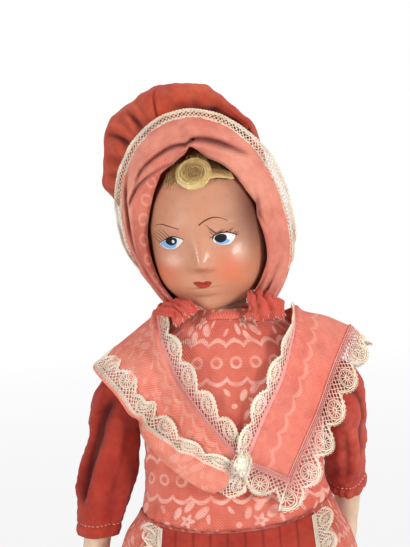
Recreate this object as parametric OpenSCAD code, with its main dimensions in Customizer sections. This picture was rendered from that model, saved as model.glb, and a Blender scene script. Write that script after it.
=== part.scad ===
// Cloth doll with a pressed mask face, dressed in a bonnet, fichu, print dress and apron.
// The doll stands on its soles at z = 0, looks along -Y, and its own left side is at +X.

/* [Body] */
// Height of the waist above the floor
waist_z = 214; // [208:1:222]
// Half width of the stuffed body at the waist
waist_rx = 39.5; // [38:0.5:41]
// Half depth of the stuffed body at the waist
waist_ry = 27; // [25:0.5:29]
// Half width of the stuffed body at the chest
chest_rx = 39.5; // [38.5:0.5:40.5]
// Half depth of the stuffed body at the chest
chest_ry = 25.5; // [24:0.5:27]
// Depth of the bottom seam below the waist
seam_drop = 40; // [38:1:44]
// Height of the shoulder joints above the waist
shoulder_rise = 54; // [52:1:56]
// Height of the neck joint above the waist
neck_rise = 92; // [90:1:94]
// Radius of the neck
neck_r = 13; // [12:0.5:14]

/* [Joints] */
// Radius of the cotter pins
pin_r = 1.5; // [1:0.1:2]
// Radius of the heads of the cotter pins
pin_head_r = 3; // [2.5:0.1:3.5]
// Radius of the pasteboard discs
disc_r = 8; // [6:0.5:8.5]
// Radius of the smaller discs in the arms
arm_disc_r = 6.5; // [5.5:0.5:7]
// Thickness of the pasteboard discs
disc_t = 1.6; // [1:0.2:2]
// Running clearance on the pins
pin_fit = 0.05; // [0.02:0.01:0.1]
// Radius of the rolled hip seam that the legs hang from
hip_seam_r = 1.4; // [1:0.1:1.6]

/* [Arms] */
// Distance of the arm's line from the middle of the body at the shoulder
arm_x = 53; // [52:0.5:55]
// Length of the arm from the shoulder joint to the finger tips
arm_len = 102; // [98:1:106]
// Half width of the stuffed upper arm, across the body
arm_rx = 7.6; // [7:0.1:8]
// Half depth of the stuffed upper arm, front to back
arm_ry = 9.4; // [8:0.1:9.8]
// Backward swing of the left arm as it lies at rest, in degrees
swing_left = 33; // [30:1:38]
// Backward swing of the right arm as it lies at rest, in degrees
swing_right = 3; // [0:1:8]
// Outward lean of the left arm, in degrees
splay_left = 1; // [0.5:0.5:4]
// Outward lean of the right arm, in degrees
splay_right = 10; // [9:0.5:13]
// Length of the sleeve below the armpit
sleeve_len = 46; // [40:1:54]
// Radius of the gathered sleeve at the armhole
sleeve_cap_r = 15; // [14:0.5:15.5]
// Half width of the right sleeve, across the body
sleeve_rx_right = 12.4; // [11.5:0.1:13]
// Half width of the left sleeve, which lies flatter behind the body
sleeve_rx_left = 9.8; // [9.6:0.1:11]
// Half width of the sleeves at the hem
sleeve_hem_rx = 9.4; // [9.2:0.1:10]
// Half depth of the sleeve, front to back
sleeve_ry = 13; // [12:0.1:14]

/* [Legs] */
// Distance of each leg from the middle of the body
leg_x = 17; // [16:0.5:18]
// Radius of the thigh
thigh_r = 13; // [12:0.5:13.5]
// Radius of the calf
calf_r = 10.6; // [10:0.2:11.5]
// Radius of the ankle
ankle_r = 8; // [7.5:0.1:8.5]
// Height of the sock's top above the floor
sock_top = 58; // [50:1:60]
// Thickness of the sole
sole_t = 2.6; // [2:0.1:4]
// Length of the sole
sole_len = 46; // [42:1:50]
// Radius of the sole at the toes
toe_r = 11.5; // [10.5:0.5:12]
// Radius of the sole at the heel
heel_r = 9.6; // [9.2:0.2:10.5]
// Height of the shoe's top edge above the floor
shoe_top = 15; // [14:0.2:17]
// Distance from the leg's line to the back of the heel
heel_back = 17; // [15:0.5:19]

/* [Head] */
// Sideways shift of the neck joint
neck_x = -4; // [-5:0.5:-3]
// Forward nod of the head, in degrees
head_nod = 5; // [3:1:7]
// Sideways tilt of the head, in degrees
head_tilt = 5.5; // [3:0.5:7]
// Turn of the head towards the doll's right, in degrees
head_turn = 10; // [0:1:15]
// Radius of the stuffed head ball
ball_r = 23.4; // [22.8:0.2:23.8]
// Half height of the stuffed head ball
ball_rz = 32; // [31:0.5:33]
// Thickness of the pressed mask
mask_t = 1.4; // [1:0.1:2]
// How far the nose stands out of the mask
nose_out = 4.6; // [3:0.2:6]
// How far the cheeks stand out of the mask
cheek_out = 1.6; // [1:0.2:2]

/* [Bonnet] */
// Half width of the face opening in the brim
face_rx = 25; // [24.5:0.5:28]
// Half height of the face opening in the brim
face_rz = 38; // [37.5:0.5:39]
// Width of the turned back brim
brim_w = 14; // [12:0.5:16]
// Thickness of the padded brim
brim_t = 3.2; // [2:0.2:4]
// Width of the lace that stands out past the brim
brim_lace_w = 3.5; // [3:0.5:6]
// Half width of the puffed crown
crown_rx = 39; // [38:0.5:40]
// Half depth of the puffed crown
crown_ry = 36; // [35:0.5:38]
// Half height of the puffed crown
crown_rz = 46; // [45:0.5:47]
// Sideways flop of the crown towards the doll's right
crown_flop = 8; // [6:0.5:9]

/* [Dress] */
// Thickness of the dress cotton
cloth = 1.2; // [0.8:0.1:1.4]
// Gap between neighbouring layers
gap = 0.3; // [0.2:0.05:0.4]
// Height of the collar band
collar_h = 4; // [3:0.5:4.5]
// Half width of the skirt at its hem
hem_rx = 82; // [80:1:88]
// Half depth of the skirt at its hem
hem_ry = 79; // [77:1:84]
// Height of the skirt's hem above the floor
hem_z = 58; // [56:1:66]
// Number of main folds in the skirt
skirt_folds = 14; // [10:2:16]
// Depth of a skirt fold at the hem
fold_depth = 3.4; // [2:0.2:4]
// Height of the petticoat's hem above the skirt's hem
petticoat_rise = 6; // [4:1:12]
// Half width of the apron at the waist
apron_w = 34; // [30:0.5:35]
// Length of the apron
apron_len = 118; // [100:1:124]
// Number of pleats in the apron
apron_pleats = 9; // [7:1:11]
// Width of the bobbin lace
lace_w = 12; // [9:0.5:13]
// Thickness of the bobbin lace
lace_t = 0.8; // [0.6:0.1:1]
// Reach of the fichu past the shoulder joint's arm line
fichu_reach = 8; // [6:0.5:9]
// Height of the fichu's crossing above the waist
cross_rise = 22; // [20:0.5:26]
// Radius of the lace rosette that pins the fichu
rosette_r = 5.2; // [4:0.2:6]

/* [Hidden] */
$fn = 48;

// Colours of the cloths and trims
print_pink = [0.86, 0.42, 0.36];
brick_red = [0.72, 0.22, 0.16];
lace_cream = [0.93, 0.88, 0.76];
muslin = [0.93, 0.86, 0.76];
skin = [0.85, 0.58, 0.45];

// Heights that the pieces share
seam_z = waist_z - seam_drop;
shoulder_z = waist_z + shoulder_rise;
neck_z = waist_z + neck_rise;
hip_z = seam_z - gap - hip_seam_r;

// Body sections, as height, half width and half depth
stations = [
    [seam_z, waist_rx - 8, 2.2],
    [seam_z + 6, waist_rx - 3.5, 10],
    [seam_z + 14, waist_rx - 0.5, 18],
    [seam_z + 24, waist_rx - 0.8, waist_ry - 2],
    [waist_z, waist_rx, waist_ry],
    [waist_z + 26, chest_rx - 0.5, waist_ry - 1],
    [shoulder_z - 6, chest_rx, chest_ry],
    [shoulder_z + 10, chest_rx, chest_ry - 1.5],
    [shoulder_z + 19, chest_rx - 3, chest_ry - 3.5],
    [shoulder_z + 26, chest_rx - 9, chest_ry - 6],
    [neck_z - 4, neck_r + 7, neck_r + 4],
    [neck_z + 2, neck_r, neck_r]
];
body_power = 2.3;
function body_rx(z) = lookup(z, [for (s = stations) [s[0], s[1]]]);
function body_ry(z) = lookup(z, [for (s = stations) [s[0], s[2]]]);

// Cloth layers, counted outwards from the stuffed body
bodice_out = gap + cloth;
armhole_x = chest_rx + bodice_out + gap;
petticoat_t = 0.8;
skirt_in = gap + petticoat_t + gap;

// Helper shapes
function mix(a, b, t) = a + (b - a) * t;
function ease(t) = t * t * (3 - 2 * t);
function power(v, p) = sign(v) * pow(abs(v), 2 / p);
function oval(rx, ry, a, p = 2) = [rx * power(cos(a), p), ry * power(sin(a), p)];
function unit(v) = norm(v) > 0 ? v / norm(v) : v;
function total(v) = [for (x = v) 1] * v;
function bump(d, w) = exp(-d * d / (w * w));

// A body-shaped ring at height z, grown by out
function body_ring(z, out, n) = [
    for (i = [0 : n - 1])
        let (p = oval(body_rx(z) + out, body_ry(z) + out, 360 * i / n, body_power)) [p[0], p[1], z]
];

// Points between a list of points, on a smooth curve through them
function curve_point(p, i, t) =
    let (a = p[max(i - 1, 0)], b = p[i], c = p[i + 1], d = p[min(i + 2, len(p) - 1)])
    0.5 * (2 * b + (c - a) * t + (2 * a - 5 * b + 4 * c - d) * t * t + (3 * b - a - 3 * c + d) * t * t * t);
function smooth_path(p, k) = [
    for (i = [0 : len(p) - 2], j = [0 : k - 1]) curve_point(p, i, j / k),
    p[len(p) - 1]
];

// A closed solid of triangles, turned so that its faces point outwards
module closed_solid(points, faces) {
    size = total([for (f = faces) points[f[0]] * cross(points[f[1]], points[f[2]])]);
    polyhedron(points, size > 0 ? [for (f = faces) [f[2], f[1], f[0]]] : faces);
}

function wall(n, from, to) = [
    for (i = [0 : n - 1]) each [
        [from + i, from + (i + 1) % n, to + (i + 1) % n],
        [from + i, to + (i + 1) % n, to + i]
    ]
];
function middle(ring) = [for (k = [0 : 2]) total([for (p = ring) p[k]]) / len(ring)];

// A stuffed form through a stack of rings
module loft(rings) {
    n = len(rings[0]);
    m = len(rings);
    points = [for (r = rings) each r, middle(rings[0]), middle(rings[m - 1])];
    closed_solid(points, [
        for (k = [0 : m - 2]) each wall(n, k * n, (k + 1) * n),
        for (i = [0 : n - 1]) each [
            [n * m, (i + 1) % n, i],
            [n * m + 1, (m - 1) * n + i, (m - 1) * n + (i + 1) % n]
        ]
    ]);
}

// A tube of cloth, open at both ends, between two stacks of rings
module cloth_tube(outer, inner) {
    n = len(outer[0]);
    m = len(outer);
    base = n * m;
    closed_solid([for (r = outer) each r, for (r = inner) each r], [
        for (k = [0 : m - 2]) each wall(n, k * n, (k + 1) * n),
        for (k = [0 : m - 2]) each wall(n, base + (k + 1) * n, base + k * n),
        each wall(n, base, 0),
        each wall(n, (m - 1) * n, base + (m - 1) * n)
    ]);
}

// Outward directions over a grid of points
function grid_normal(g, i, j) =
    let (m = len(g) - 1, n = len(g[0]) - 1)
    unit(cross(g[min(i + 1, m)][j] - g[max(i - 1, 0)][j], g[i][min(j + 1, n)] - g[i][max(j - 1, 0)]));
function lifted(g, d) = [
    for (i = [0 : len(g) - 1]) [for (j = [0 : len(g[0]) - 1]) g[i][j] + d * grid_normal(g, i, j)]
];

// A sheet of cloth over a grid of points, t thick along the grid's outward direction
module cloth_sheet(grid, t) {
    m = len(grid);
    n = len(grid[0]);
    base = m * n;
    edge = [
        for (j = [0 : n - 1]) j,
        for (i = [1 : m - 1]) i * n + n - 1,
        for (j = [n - 2 : -1 : 0]) (m - 1) * n + j,
        for (i = [m - 2 : -1 : 1]) i * n
    ];
    closed_solid([for (r = grid) each r, for (r = lifted(grid, t)) each r], [
        for (i = [0 : m - 2], j = [0 : n - 2]) let (a = i * n + j, b = a + n) each [
            [a, a + 1, b + 1], [a, b + 1, b],
            [base + a, base + b + 1, base + a + 1], [base + a, base + b, base + b + 1]
        ],
        for (k = [0 : len(edge) - 1]) let (a = edge[k], b = edge[(k + 1) % len(edge)]) each [
            [a, base + a, base + b], [a, base + b, b]
        ]
    ]);
}

// Places that moving groups are built in
module on_neck() {
    translate([neck_x, 0, neck_z]) rotate([0, -head_tilt, 0]) rotate([head_nod, 0, 0]) children();
}
module on_head() { on_neck() rotate([0, 0, -head_turn]) children(); }
module on_arm(swing) { translate([arm_x, 0, shoulder_z]) rotate([swing, 0, 0]) children(); }
module on_right() { mirror([1, 0, 0]) children(); }
module along_x() { rotate([0, 90, 0]) children(); }

// Disc joints: discs in pockets on both sides of each joint, drawn together by a cotter pin
pin_head_t = 1;
pin_seat = 0.1;
pocket_play = 0.4;
disc_depth = 8.5;
head_disc_up = 6;
body_disc_x = chest_rx - 10;
arm_disc_x = arm_x - 5;
module disc(r) {
    color("tan") difference() {
        cylinder(r = r, h = disc_t);
        pin_hole(-1, disc_t + 1);
    }
}
module pin_hole(from, to) { translate([0, 0, from]) cylinder(r = pin_r + pin_fit, h = to - from); }
module disc_pocket(r) {
    room = pin_head_t + pin_seat + pocket_play;
    translate([0, 0, -room]) cylinder(r = r + pocket_play, h = disc_t + 2 * room);
}
// Cotter pin whose heads lie outside the discs at from and to
module cotter_pin(from, to) {
    low = from - pin_seat - pin_head_t;
    high = to + disc_t + pin_seat + pin_head_t;
    color("silver") {
        translate([0, 0, low]) cylinder(r = pin_r, h = high - low);
        translate([0, 0, low]) cylinder(r = pin_head_r, h = pin_head_t);
        translate([0, 0, high - pin_head_t]) cylinder(r = pin_head_r, h = pin_head_t);
    }
}
module neck_disc() { on_neck() translate([0, 0, -disc_depth]) disc(disc_r); }
module head_disc() { on_head() translate([0, 0, head_disc_up]) disc(disc_r); }
module neck_pin() { on_neck() cotter_pin(-disc_depth, head_disc_up); }
module both_shoulders() {
    for (side = [0, 1]) mirror([side, 0, 0]) translate([0, 0, shoulder_z]) along_x() children();
}
module body_discs() { both_shoulders() translate([0, 0, body_disc_x]) disc(disc_r); }
module shoulder_pins() { both_shoulders() cotter_pin(body_disc_x, arm_disc_x); }

// Rolled seams at the bottom of the body, which the legs hang from
hip_seam_half = thigh_r - 1;
module hip_seams() {
    color(muslin) for (side = [-1, 1])
        translate([side * leg_x, 0, hip_z]) along_x()
            cylinder(r = hip_seam_r, h = 2 * hip_seam_half, center = true);
}

// Stuffed body with its disc pockets, pin holes and the rolled seam's groove
body_sides = 28;
module torso() {
    wide = 4 * chest_rx;
    color(muslin) difference() {
        loft([for (s = stations) body_ring(s[0], 0, body_sides)]);
        on_neck() translate([-wide / 2, -wide / 2, 0]) cube([wide, wide, neck_r]);
        on_neck() translate([0, 0, -disc_depth]) disc_pocket(disc_r);
        on_neck() pin_hole(-disc_depth, 1);
        both_shoulders() translate([0, 0, body_disc_x]) disc_pocket(disc_r);
        both_shoulders() pin_hole(body_disc_x, wide);
        translate([0, 0, hip_z]) along_x() cylinder(r = hip_seam_r + gap, h = wide, center = true);
    }
}

// Dress bodice, a shell that follows the body and leaves two round armholes
bodice_top_z = neck_z - 5;
stub_r = arm_ry - 0.6;
armhole_play = 1.4;
module bodice() {
    heights = [for (s = stations) if (s[0] >= waist_z && s[0] < bodice_top_z - 2) s[0], bodice_top_z];
    color(print_pink) difference() {
        cloth_tube(
            [for (z = heights) body_ring(z, bodice_out, body_sides)],
            [for (z = heights) body_ring(z, gap, body_sides)]);
        translate([0, 0, shoulder_z]) along_x()
            cylinder(r = stub_r + armhole_play, h = 4 * chest_rx, center = true);
    }
}
// Collar band round the neck, standing on the bodice's top edge
collar_lean = 1.4;
module collar() {
    r = max(body_rx(bodice_top_z), body_ry(bodice_top_z)) + gap;
    color(print_pink) translate([0, 0, bodice_top_z + gap]) rotate_extrude() translate([r, 0])
        polygon([[0, 0], [cloth, 0], [cloth - collar_lean, collar_h], [-collar_lean, collar_h]]);
}

// Skirt shape: flare from waist to hem, by the share u of the way down
flare = [[0, 0], [0.1, 0.28], [0.26, 0.44], [0.6, 0.74], [1, 1]];
skirt_h = waist_z - gap - hem_z;
function skirt_r(u, a, out) =
    let (f = lookup(u, flare))
    oval(mix(waist_rx + skirt_in, hem_rx - cloth - fold_depth, f) + out,
         mix(waist_ry + skirt_in, hem_ry - cloth - fold_depth, f) + out, a, mix(body_power, 2, f));
function fold_at(u, a) = fold_reach(u) * (1 + cos(skirt_folds * a)) / 2;
function skirt_ring(u, out, n) = [
    for (i = [0 : n - 1])
        let (a = 360 * i / n, p = skirt_r(u, a, out + fold_at(u, a)))
        [p[0], p[1], waist_z - gap - u * skirt_h]
];
skirt_steps = [0, 0.05, 0.12, 0.26, 0.48, 0.74, 1];
module skirt() {
    n = skirt_folds * 4;
    color(print_pink) cloth_tube(
        [for (u = skirt_steps) skirt_ring(u, cloth, n)], [for (u = skirt_steps) skirt_ring(u, 0, n)]);
}
// Petticoat under the skirt, less full at the hips than the skirt is
petticoat_flare = [[0, 0], [0.17, 0.04], [0.3, 0.14], [1, 1]];
petticoat_slack = 1.2;
function petticoat_ring(u, out, n) =
    let (f = lookup(u, petticoat_flare), slack = petticoat_slack * min(1, 8 * u),
         rx = mix(waist_rx + gap, hem_rx - cloth - fold_depth - gap - petticoat_t, f) - slack + out,
         ry = mix(waist_ry + gap, hem_ry - cloth - fold_depth - gap - petticoat_t, f) - slack + out)
    [for (i = [0 : n - 1])
        let (p = oval(rx, ry, 360 * i / n, mix(body_power, 2, f))) [p[0], p[1], waist_z - gap - u * skirt_h]];
module petticoat() {
    n = 36;
    steps = [0, 0.17, 0.3, 0.6, 1 - petticoat_rise / skirt_h];
    color("ivory") cloth_tube(
        [for (u = steps) petticoat_ring(u, petticoat_t, n)], [for (u = steps) petticoat_ring(u, 0, n)]);
}

// Points over the front of the skirt, by the share u of the way down and the distance x from the middle
function fold_reach(u) = fold_depth * ease(min(1, 0.12 + u));
function front_angle(u, x, lift) =
    let (share = x / skirt_r(u, 0, lift)[0], p = mix(body_power, 2, lookup(u, flare)))
    -90 + asin(max(-1, min(1, sign(share) * pow(abs(share), p / 2))));
function over_skirt(u, x, out) =
    let (lift = fold_reach(u) + out, p = skirt_r(u, front_angle(u, x, lift), lift))
    [p[0], p[1], waist_z - gap - u * skirt_h];

// Apron over the front of the skirt, in knife pleats, with lace down both sides
apron_out = cloth + gap;
apron_spread = 14;
pleat_depth = 2.2;
pleat_turn = 0.8;
apron_steps = [0.007, 0.035, 0.07, 0.16, 0.35, 0.65, 1];
function apron_half(u) = apron_w + apron_spread * u;
function pleat(v) =
    let (t = v * apron_pleats - floor(v * apron_pleats))
    t < pleat_turn ? t / pleat_turn : (1 - t) / (1 - pleat_turn);
function pleat_reach(u) = pleat_depth * ease(min(1, 0.2 + 2 * u));
module apron() {
    n = apron_pleats * 4;
    color(brick_red) cloth_sheet([for (k = apron_steps) let (u = k * apron_len / skirt_h) [
        for (j = [0 : n])
            over_skirt(u, mix(-1, 1, j / n) * apron_half(u), apron_out + pleat_reach(u) * pleat(j / n))
    ]], cloth);
}
lace_lift = 0.6;
lace_inset = 1.2;
side_lace_w = 7;
module apron_lace(side) {
    color(lace_cream) cloth_sheet([for (k = apron_steps) let (u = k * apron_len / skirt_h) [
        for (j = [0 : 4])
            let (across = lace_inset + side_lace_w * (side > 0 ? j : 4 - j) / 4)
            over_skirt(u, side * (apron_half(u) + across), apron_out + lace_lift)
    ]], lace_t);
}

// Points on the bodice and over the sleeve cap, lifted off them
function on_body(a, z, lift) =
    let (out = bodice_out + lift, p = oval(body_rx(z) + out, body_ry(z) + out, a, body_power))
    [p[0], p[1], z];
function on_cap(x, a, lift) =
    [x, -(sleeve_cap_r + lift) * sin(a), shoulder_z + (sleeve_cap_r + lift) * cos(a)];
function clear_of_body(p, lift) =
    let (rx = body_rx(p[2]) + bodice_out + lift, ry = body_ry(p[2]) + bodice_out + lift,
         d = pow(pow(abs(p[0]) / rx, body_power) + pow(abs(p[1]) / ry, body_power), 1 / body_power))
    d < 1 ? [p[0] / d, p[1] / d, p[2]] : p;

// Fichu: a shaped kerchief in two halves, from the back seam over the shoulder to the crossed front
cap_lift = 4;
neck_side_x = neck_r + 15;
cross_z = waist_z + cross_rise;
function fichu_neck(lift) = [
    on_body(90, neck_z - 10, lift + 3),
    on_body(62, neck_z - 8, lift + 5),
    [neck_side_x, 5, neck_z - 2],
    [neck_side_x + 0.5, -5, neck_z - 3],
    on_body(-52, shoulder_z + 20, lift + 3),
    on_body(-63, shoulder_z + 2, lift + 1),
    on_body(-74, mix(shoulder_z, cross_z, 0.55), lift + 0.6),
    on_body(-85, cross_z, lift + 0.6)
];
function fichu_outer(lift, end_angle, end_z) = [
    on_body(90, waist_z + 16, lift + 2.5),
    on_body(52, waist_z + 42, lift + 4),
    on_cap(arm_x - 3, -64, cap_lift + lift),
    on_cap(arm_x + fichu_reach, -8, cap_lift + lift),
    on_cap(arm_x - 3, 60, cap_lift + lift),
    on_body(-33, shoulder_z - 20, lift + 3),
    on_body(mix(-33, end_angle, 0.6), mix(shoulder_z - 20, end_z, 0.6), lift + 1.2),
    on_body(end_angle, end_z, lift + 0.8)
];
fichu_across = 5;
function fichu_grid(lift, end_angle, end_z) =
    let (a = smooth_path(fichu_neck(lift), 2), b = smooth_path(fichu_outer(lift, end_angle, end_z), 2))
    [for (i = [0 : len(a) - 1]) [
        for (j = [0 : fichu_across - 1]) clear_of_body(mix(a[i], b[i], j / (fichu_across - 1)), lift)
    ]];
lap = cloth + gap;
left_lift = gap + lap;
right_lift = gap;
left_end = [-60, waist_z + 15];
right_end = [-86, waist_z + 8];
function left_grid() = fichu_grid(left_lift, left_end[0], left_end[1]);
function right_grid() = fichu_grid(right_lift, right_end[0], right_end[1]);
module fichu_left() { color(print_pink) cloth_sheet(left_grid(), cloth); }
module fichu_right() { color(print_pink) on_right() cloth_sheet(right_grid(), cloth); }

// Lace along the neck edge, from the shoulder to the crossing, lying on the bodice
neck_lace_from = 7;
module fichu_lace_neck(grid, lift) {
    last = len(grid) - 1;
    color(lace_cream) cloth_sheet([for (i = [neck_lace_from : last])
        let (a = grid[i][0], in = unit(a - grid[i][fichu_across - 1]),
             w = lace_w * mix(0.35, 1, min(1, (i - neck_lace_from) / 4)))
        [for (j = [2 : -1 : 0]) clear_of_body(a + in * (gap + w * j / 2), lift)]
    ], lace_t);
}
// Lace along the outer edge, hanging free past the left half of the fichu
module fichu_lace_free(grid) {
    color(lace_cream) cloth_sheet([for (row = grid)
        let (b = row[fichu_across - 1], out = unit(b - row[fichu_across - 2]))
        [for (j = [0 : 2]) b + out * (gap + lace_w * j / 2)]
    ], lace_t);
}
// Lace along the outer edge, turned up over the right half of the fichu
edge_turn = 3;
turned_lift = 4 * gap;
function from_edge(row, k, d) =
    let (l = norm(row[k] - row[k - 1]))
    d <= l || k == 1 ? mix(row[k], row[k - 1], d / l) : from_edge(row, k - 1, d - l);
module fichu_lace_turned(grid) {
    color(lace_cream) cloth_sheet(lifted([for (row = grid)
        [for (j = [2 : -1 : 0]) from_edge(row, fichu_across - 1, edge_turn + lace_w * j / 2)]
    ], cloth + turned_lift), lace_t);
}
// Gathered lace knot that pins the crossing
module rosette() {
    p = on_body(-87, cross_z, left_lift + cloth + 1.6);
    color(lace_cream) translate(p) rotate([90, 0, 0]) rotate_extrude()
        polygon([[0, 0], [rosette_r - 1, 0], [rosette_r, 1], [rosette_r - 1.2, 2.4], [1.6, 3.4], [0, 3]]);
}

// Stuffed head ball on its neck, with the disc pocket
ball_up = ball_rz + 1.5;
function ball_outline(out) = [
    for (k = [0 : 24])
        let (t = -90 + 180 * k / 24) [max(0, (ball_r + out) * cos(t)), ball_up + (ball_rz + out) * sin(t)]
];
neck_in = 0.6;
module head_ball() {
    color(muslin) on_head() difference() {
        union() {
            rotate_extrude() polygon(ball_outline(0));
            translate([0, 0, gap]) cylinder(r = neck_r - neck_in, h = ball_up * 0.3);
        }
        translate([-ball_r, -ball_r, gap - ball_rz]) cube([2 * ball_r, 2 * ball_r, ball_rz]);
        pin_hole(-1, head_disc_up);
        translate([0, 0, head_disc_up]) disc_pocket(disc_r);
    }
}

// Pressed mask: an open-backed shell with nose, lips, chin, cheeks, brows and eye hollows
eye_x = 12.3;
eye_z = ball_up - 1;
nose_z = eye_z - 8;
mouth_z = eye_z - 20;
mask_stand = 1.6;
mask_side = 78;
mask_low = -60;
mask_high = 66;
// Relief of the face: out, place across, height, spread across, spread upwards, spread downwards
face_features = [
    [nose_out, 0, nose_z, 3.6, 8.5, 2.8],
    [cheek_out, 13.5, mouth_z + 5, 8, 8, 8],
    [1.4, 0, mouth_z, 5, 2.4, 2.4],
    [2.2, 0, mouth_z - 9, 7, 4.5, 4.5],
    [0.8, 11, eye_z + 7, 8, 3, 3],
    [-1.5, eye_x, eye_z, 5.5, 3.6, 3.6]
];
function face_relief(x, z) = total([
    for (f = face_features) f[0] * bump(abs(x) - f[1], f[3]) * bump(z - f[2], z > f[2] ? f[4] : f[5])
]);
function mask_point(side, up) =
    let (d = [sin(side) * cos(up), -cos(side) * cos(up), sin(up)],
         p = [d[0] * (ball_r + gap), d[1] * (ball_r + gap), ball_up + d[2] * (ball_rz + gap)])
    p + (mask_stand + face_relief(p[0], p[2])) * d;
mask_grid = 24;
module face_mask() {
    color(skin) on_head() cloth_sheet([for (i = [0 : mask_grid]) [
        for (j = [0 : mask_grid])
            let (s = 2 * i / mask_grid - 1)
            mask_point(mask_side * sign(s) * pow(abs(s), 1.25), mix(mask_low, mask_high, j / mask_grid))
    ]], mask_t);
}

// Rolled mohair curls on the forehead
curl_r = 3;
curl_ring = 4.6;
module curl(side, up, size) {
    p = mask_point(side, up);
    on_head() translate(p) rotate([0, 0, side]) rotate([90 - up, 0, 0])
        translate([0, 0, mask_t + gap + curl_r * size])
        rotate_extrude() translate([curl_ring * size, 0]) circle(r = curl_r * size);
}
module hair_curls() {
    color("khaki") {
        curl(-6, 49, 1);
        curl(26, 46, 0.7);
    }
}

// Bonnet: turned back padded brim round the face, puffed crown behind it, lace between them
brim_z = ball_up + 1.2;
brim_front = -13;
brim_back = -3.2;
brim_end = 138;
brim_full = 20;
function brim_width(a) =
    brim_w * mix(1, 0.55, ease(min(1, max(0, abs(a) - brim_full) / (brim_end - brim_full))));
jaw_room = 2.4;
function jaw_width(a) = jaw_room * ease(min(1, max(0, abs(a) / 90 - 0.8) / 0.5));
function brim_point(a, out, y) =
    [(face_rx + jaw_width(a) + out) * sin(a), y, brim_z + (face_rz + out) * cos(a)];
function brim_ring(a) =
    let (w = brim_width(a), puff = 1 + 0.25 * cos(a * 7.5),
         along = unit(brim_point(a, w, brim_back) - brim_point(a, 0, brim_front)),
         thick = unit(cross(along, cross([sin(a), 0, cos(a)], [0, 1, 0]))))
    [for (k = [0 : 9])
        let (t = 36 * k, share = (1 + cos(t)) / 2)
        brim_point(a, w * share, mix(brim_front, brim_back, share)) + thick * brim_t / 2 * puff * sin(t)];
module bonnet_brim() {
    color(print_pink) on_head() loft([for (k = [0 : 36]) brim_ring(mix(-brim_end, brim_end, k / 36))]);
}
lace_y = brim_back + brim_t / 2 + gap;
lace_end = 120;
lace_lap = 3;
function lace_edge(k, out) =
    let (a = mix(-lace_end, lace_end, k / 40), p = brim_point(a, brim_width(a) + out, 0)) [p[0], p[2]];
module bonnet_lace() {
    color(lace_cream) on_head() translate([0, lace_y + lace_t, 0]) rotate([90, 0, 0]) linear_extrude(lace_t)
        polygon([
            for (k = [0 : 40]) lace_edge(k, -lace_lap),
            for (k = [40 : -1 : 0]) lace_edge(k, brim_lace_w)]);
}
crown_y = lace_y + lace_t + gap;
crown_z = ball_up + 19;
crown_mid = 8;
crown_folds = 9;
crown_fold = 0.045;
module bonnet_crown() {
    n = crown_folds * 4;
    steps = [0, 0.06, 0.16, 0.32, 0.5, 0.68, 0.84, 0.95, 0.995];
    color(brick_red) on_head() difference() {
        loft([for (s = steps)
            let (y = mix(crown_y, crown_mid + crown_ry, s), k = sqrt(1 - pow((y - crown_mid) / crown_ry, 2)),
                 f = crown_fold * (1 - 0.6 * s))
            [for (i = [0 : n - 1]) let (a = 360 * i / n, r = k * (1 + f * cos(crown_folds * a)))
                [-crown_flop + crown_rx * r * cos(a), y, crown_z + crown_rz * r * sin(a)]]
        ]);
        rotate_extrude() polygon(ball_outline(gap));
    }
}
// Gathered ends of the brim, drawn down to short ties under the jaw
tie_w = 4.6;
tie_t = 1.7;
// A flat oval ring square to the path at point i, its width as near to the given line as it can lie
function path_ring(path, i, w, d, lie) =
    let (along = unit(path[min(i + 1, len(path) - 1)] - path[max(i - 1, 0)]),
         flat = unit(lie - along * (along * lie)), thick = cross(along, flat))
    [for (k = [0 : 9]) let (a = 36 * k) path[i] + flat * w * cos(a) + thick * d * sin(a)];
module bonnet_tie(side, reach) {
    path = smooth_path([
        brim_point(side * (brim_end + 2), 4, brim_front + 1),
        [side * 20.3, -16.5, 2.2],
        [side * (17.5 + reach), -21.4, -0.8],
        [side * (15 + reach), -23.6, -4.6]
    ], 2);
    color(print_pink) on_head() loft([for (i = [0 : len(path) - 1])
        let (t = i / (len(path) - 1))
        path_ring(path, i, tie_w * mix(0.8, 1, abs(2 * t - 1)), tie_t * mix(1.2, 0.8, t),
            [1, -0.4 * side, -0.35 * side])
    ]);
}

// Sleeve rings: a fan from the armhole over the shoulder, then a straight run down to the hem
fan_off = 1;
fan_x = armhole_x - arm_x;
function sleeve_mid(rx) = fan_x + fan_off + rx;
sleeve_fan = [0, 24, 48, 70, 90];
sleeve_run = [0.14, 0.32, 0.55, 0.78, 1];
sleeve_fold = 0.7;
function fan_ring(t, n, shrink, rx) =
    let (s = ease(t / 90), r = mix(sleeve_cap_r, rx, s), d = mix(sleeve_cap_r, sleeve_ry, s))
    [for (i = [0 : n - 1])
        let (a = 360 * i / n, q = fan_off + r + (r - shrink) * cos(a))
        [fan_x + q * sin(t), (d - shrink) * sin(a), -sleeve_cap_r - fan_off + q * cos(t)]];
function run_ring(u, n, shrink, splay, rx) =
    [for (i = [0 : n - 1])
        let (a = 360 * i / n, f = sleeve_fold * ease(u) * cos(5 * a) - shrink, z = u * sleeve_len)
        [sleeve_mid(rx) + tan(splay) * z + (mix(rx, sleeve_hem_rx, u) + f) * cos(a),
         (sleeve_ry + f) * sin(a), -sleeve_cap_r - fan_off - z]];
function sleeve_rings(shrink, splay, rx) = [
    for (t = sleeve_fan) fan_ring(t, 16, shrink, rx),
    for (u = sleeve_run) run_ring(u, 16, shrink, splay, rx)
];
module sleeve(swing, splay, rx) {
    color(brick_red) on_arm(swing) cloth_tube(sleeve_rings(0, splay, rx), sleeve_rings(cloth, splay, rx));
}

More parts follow.
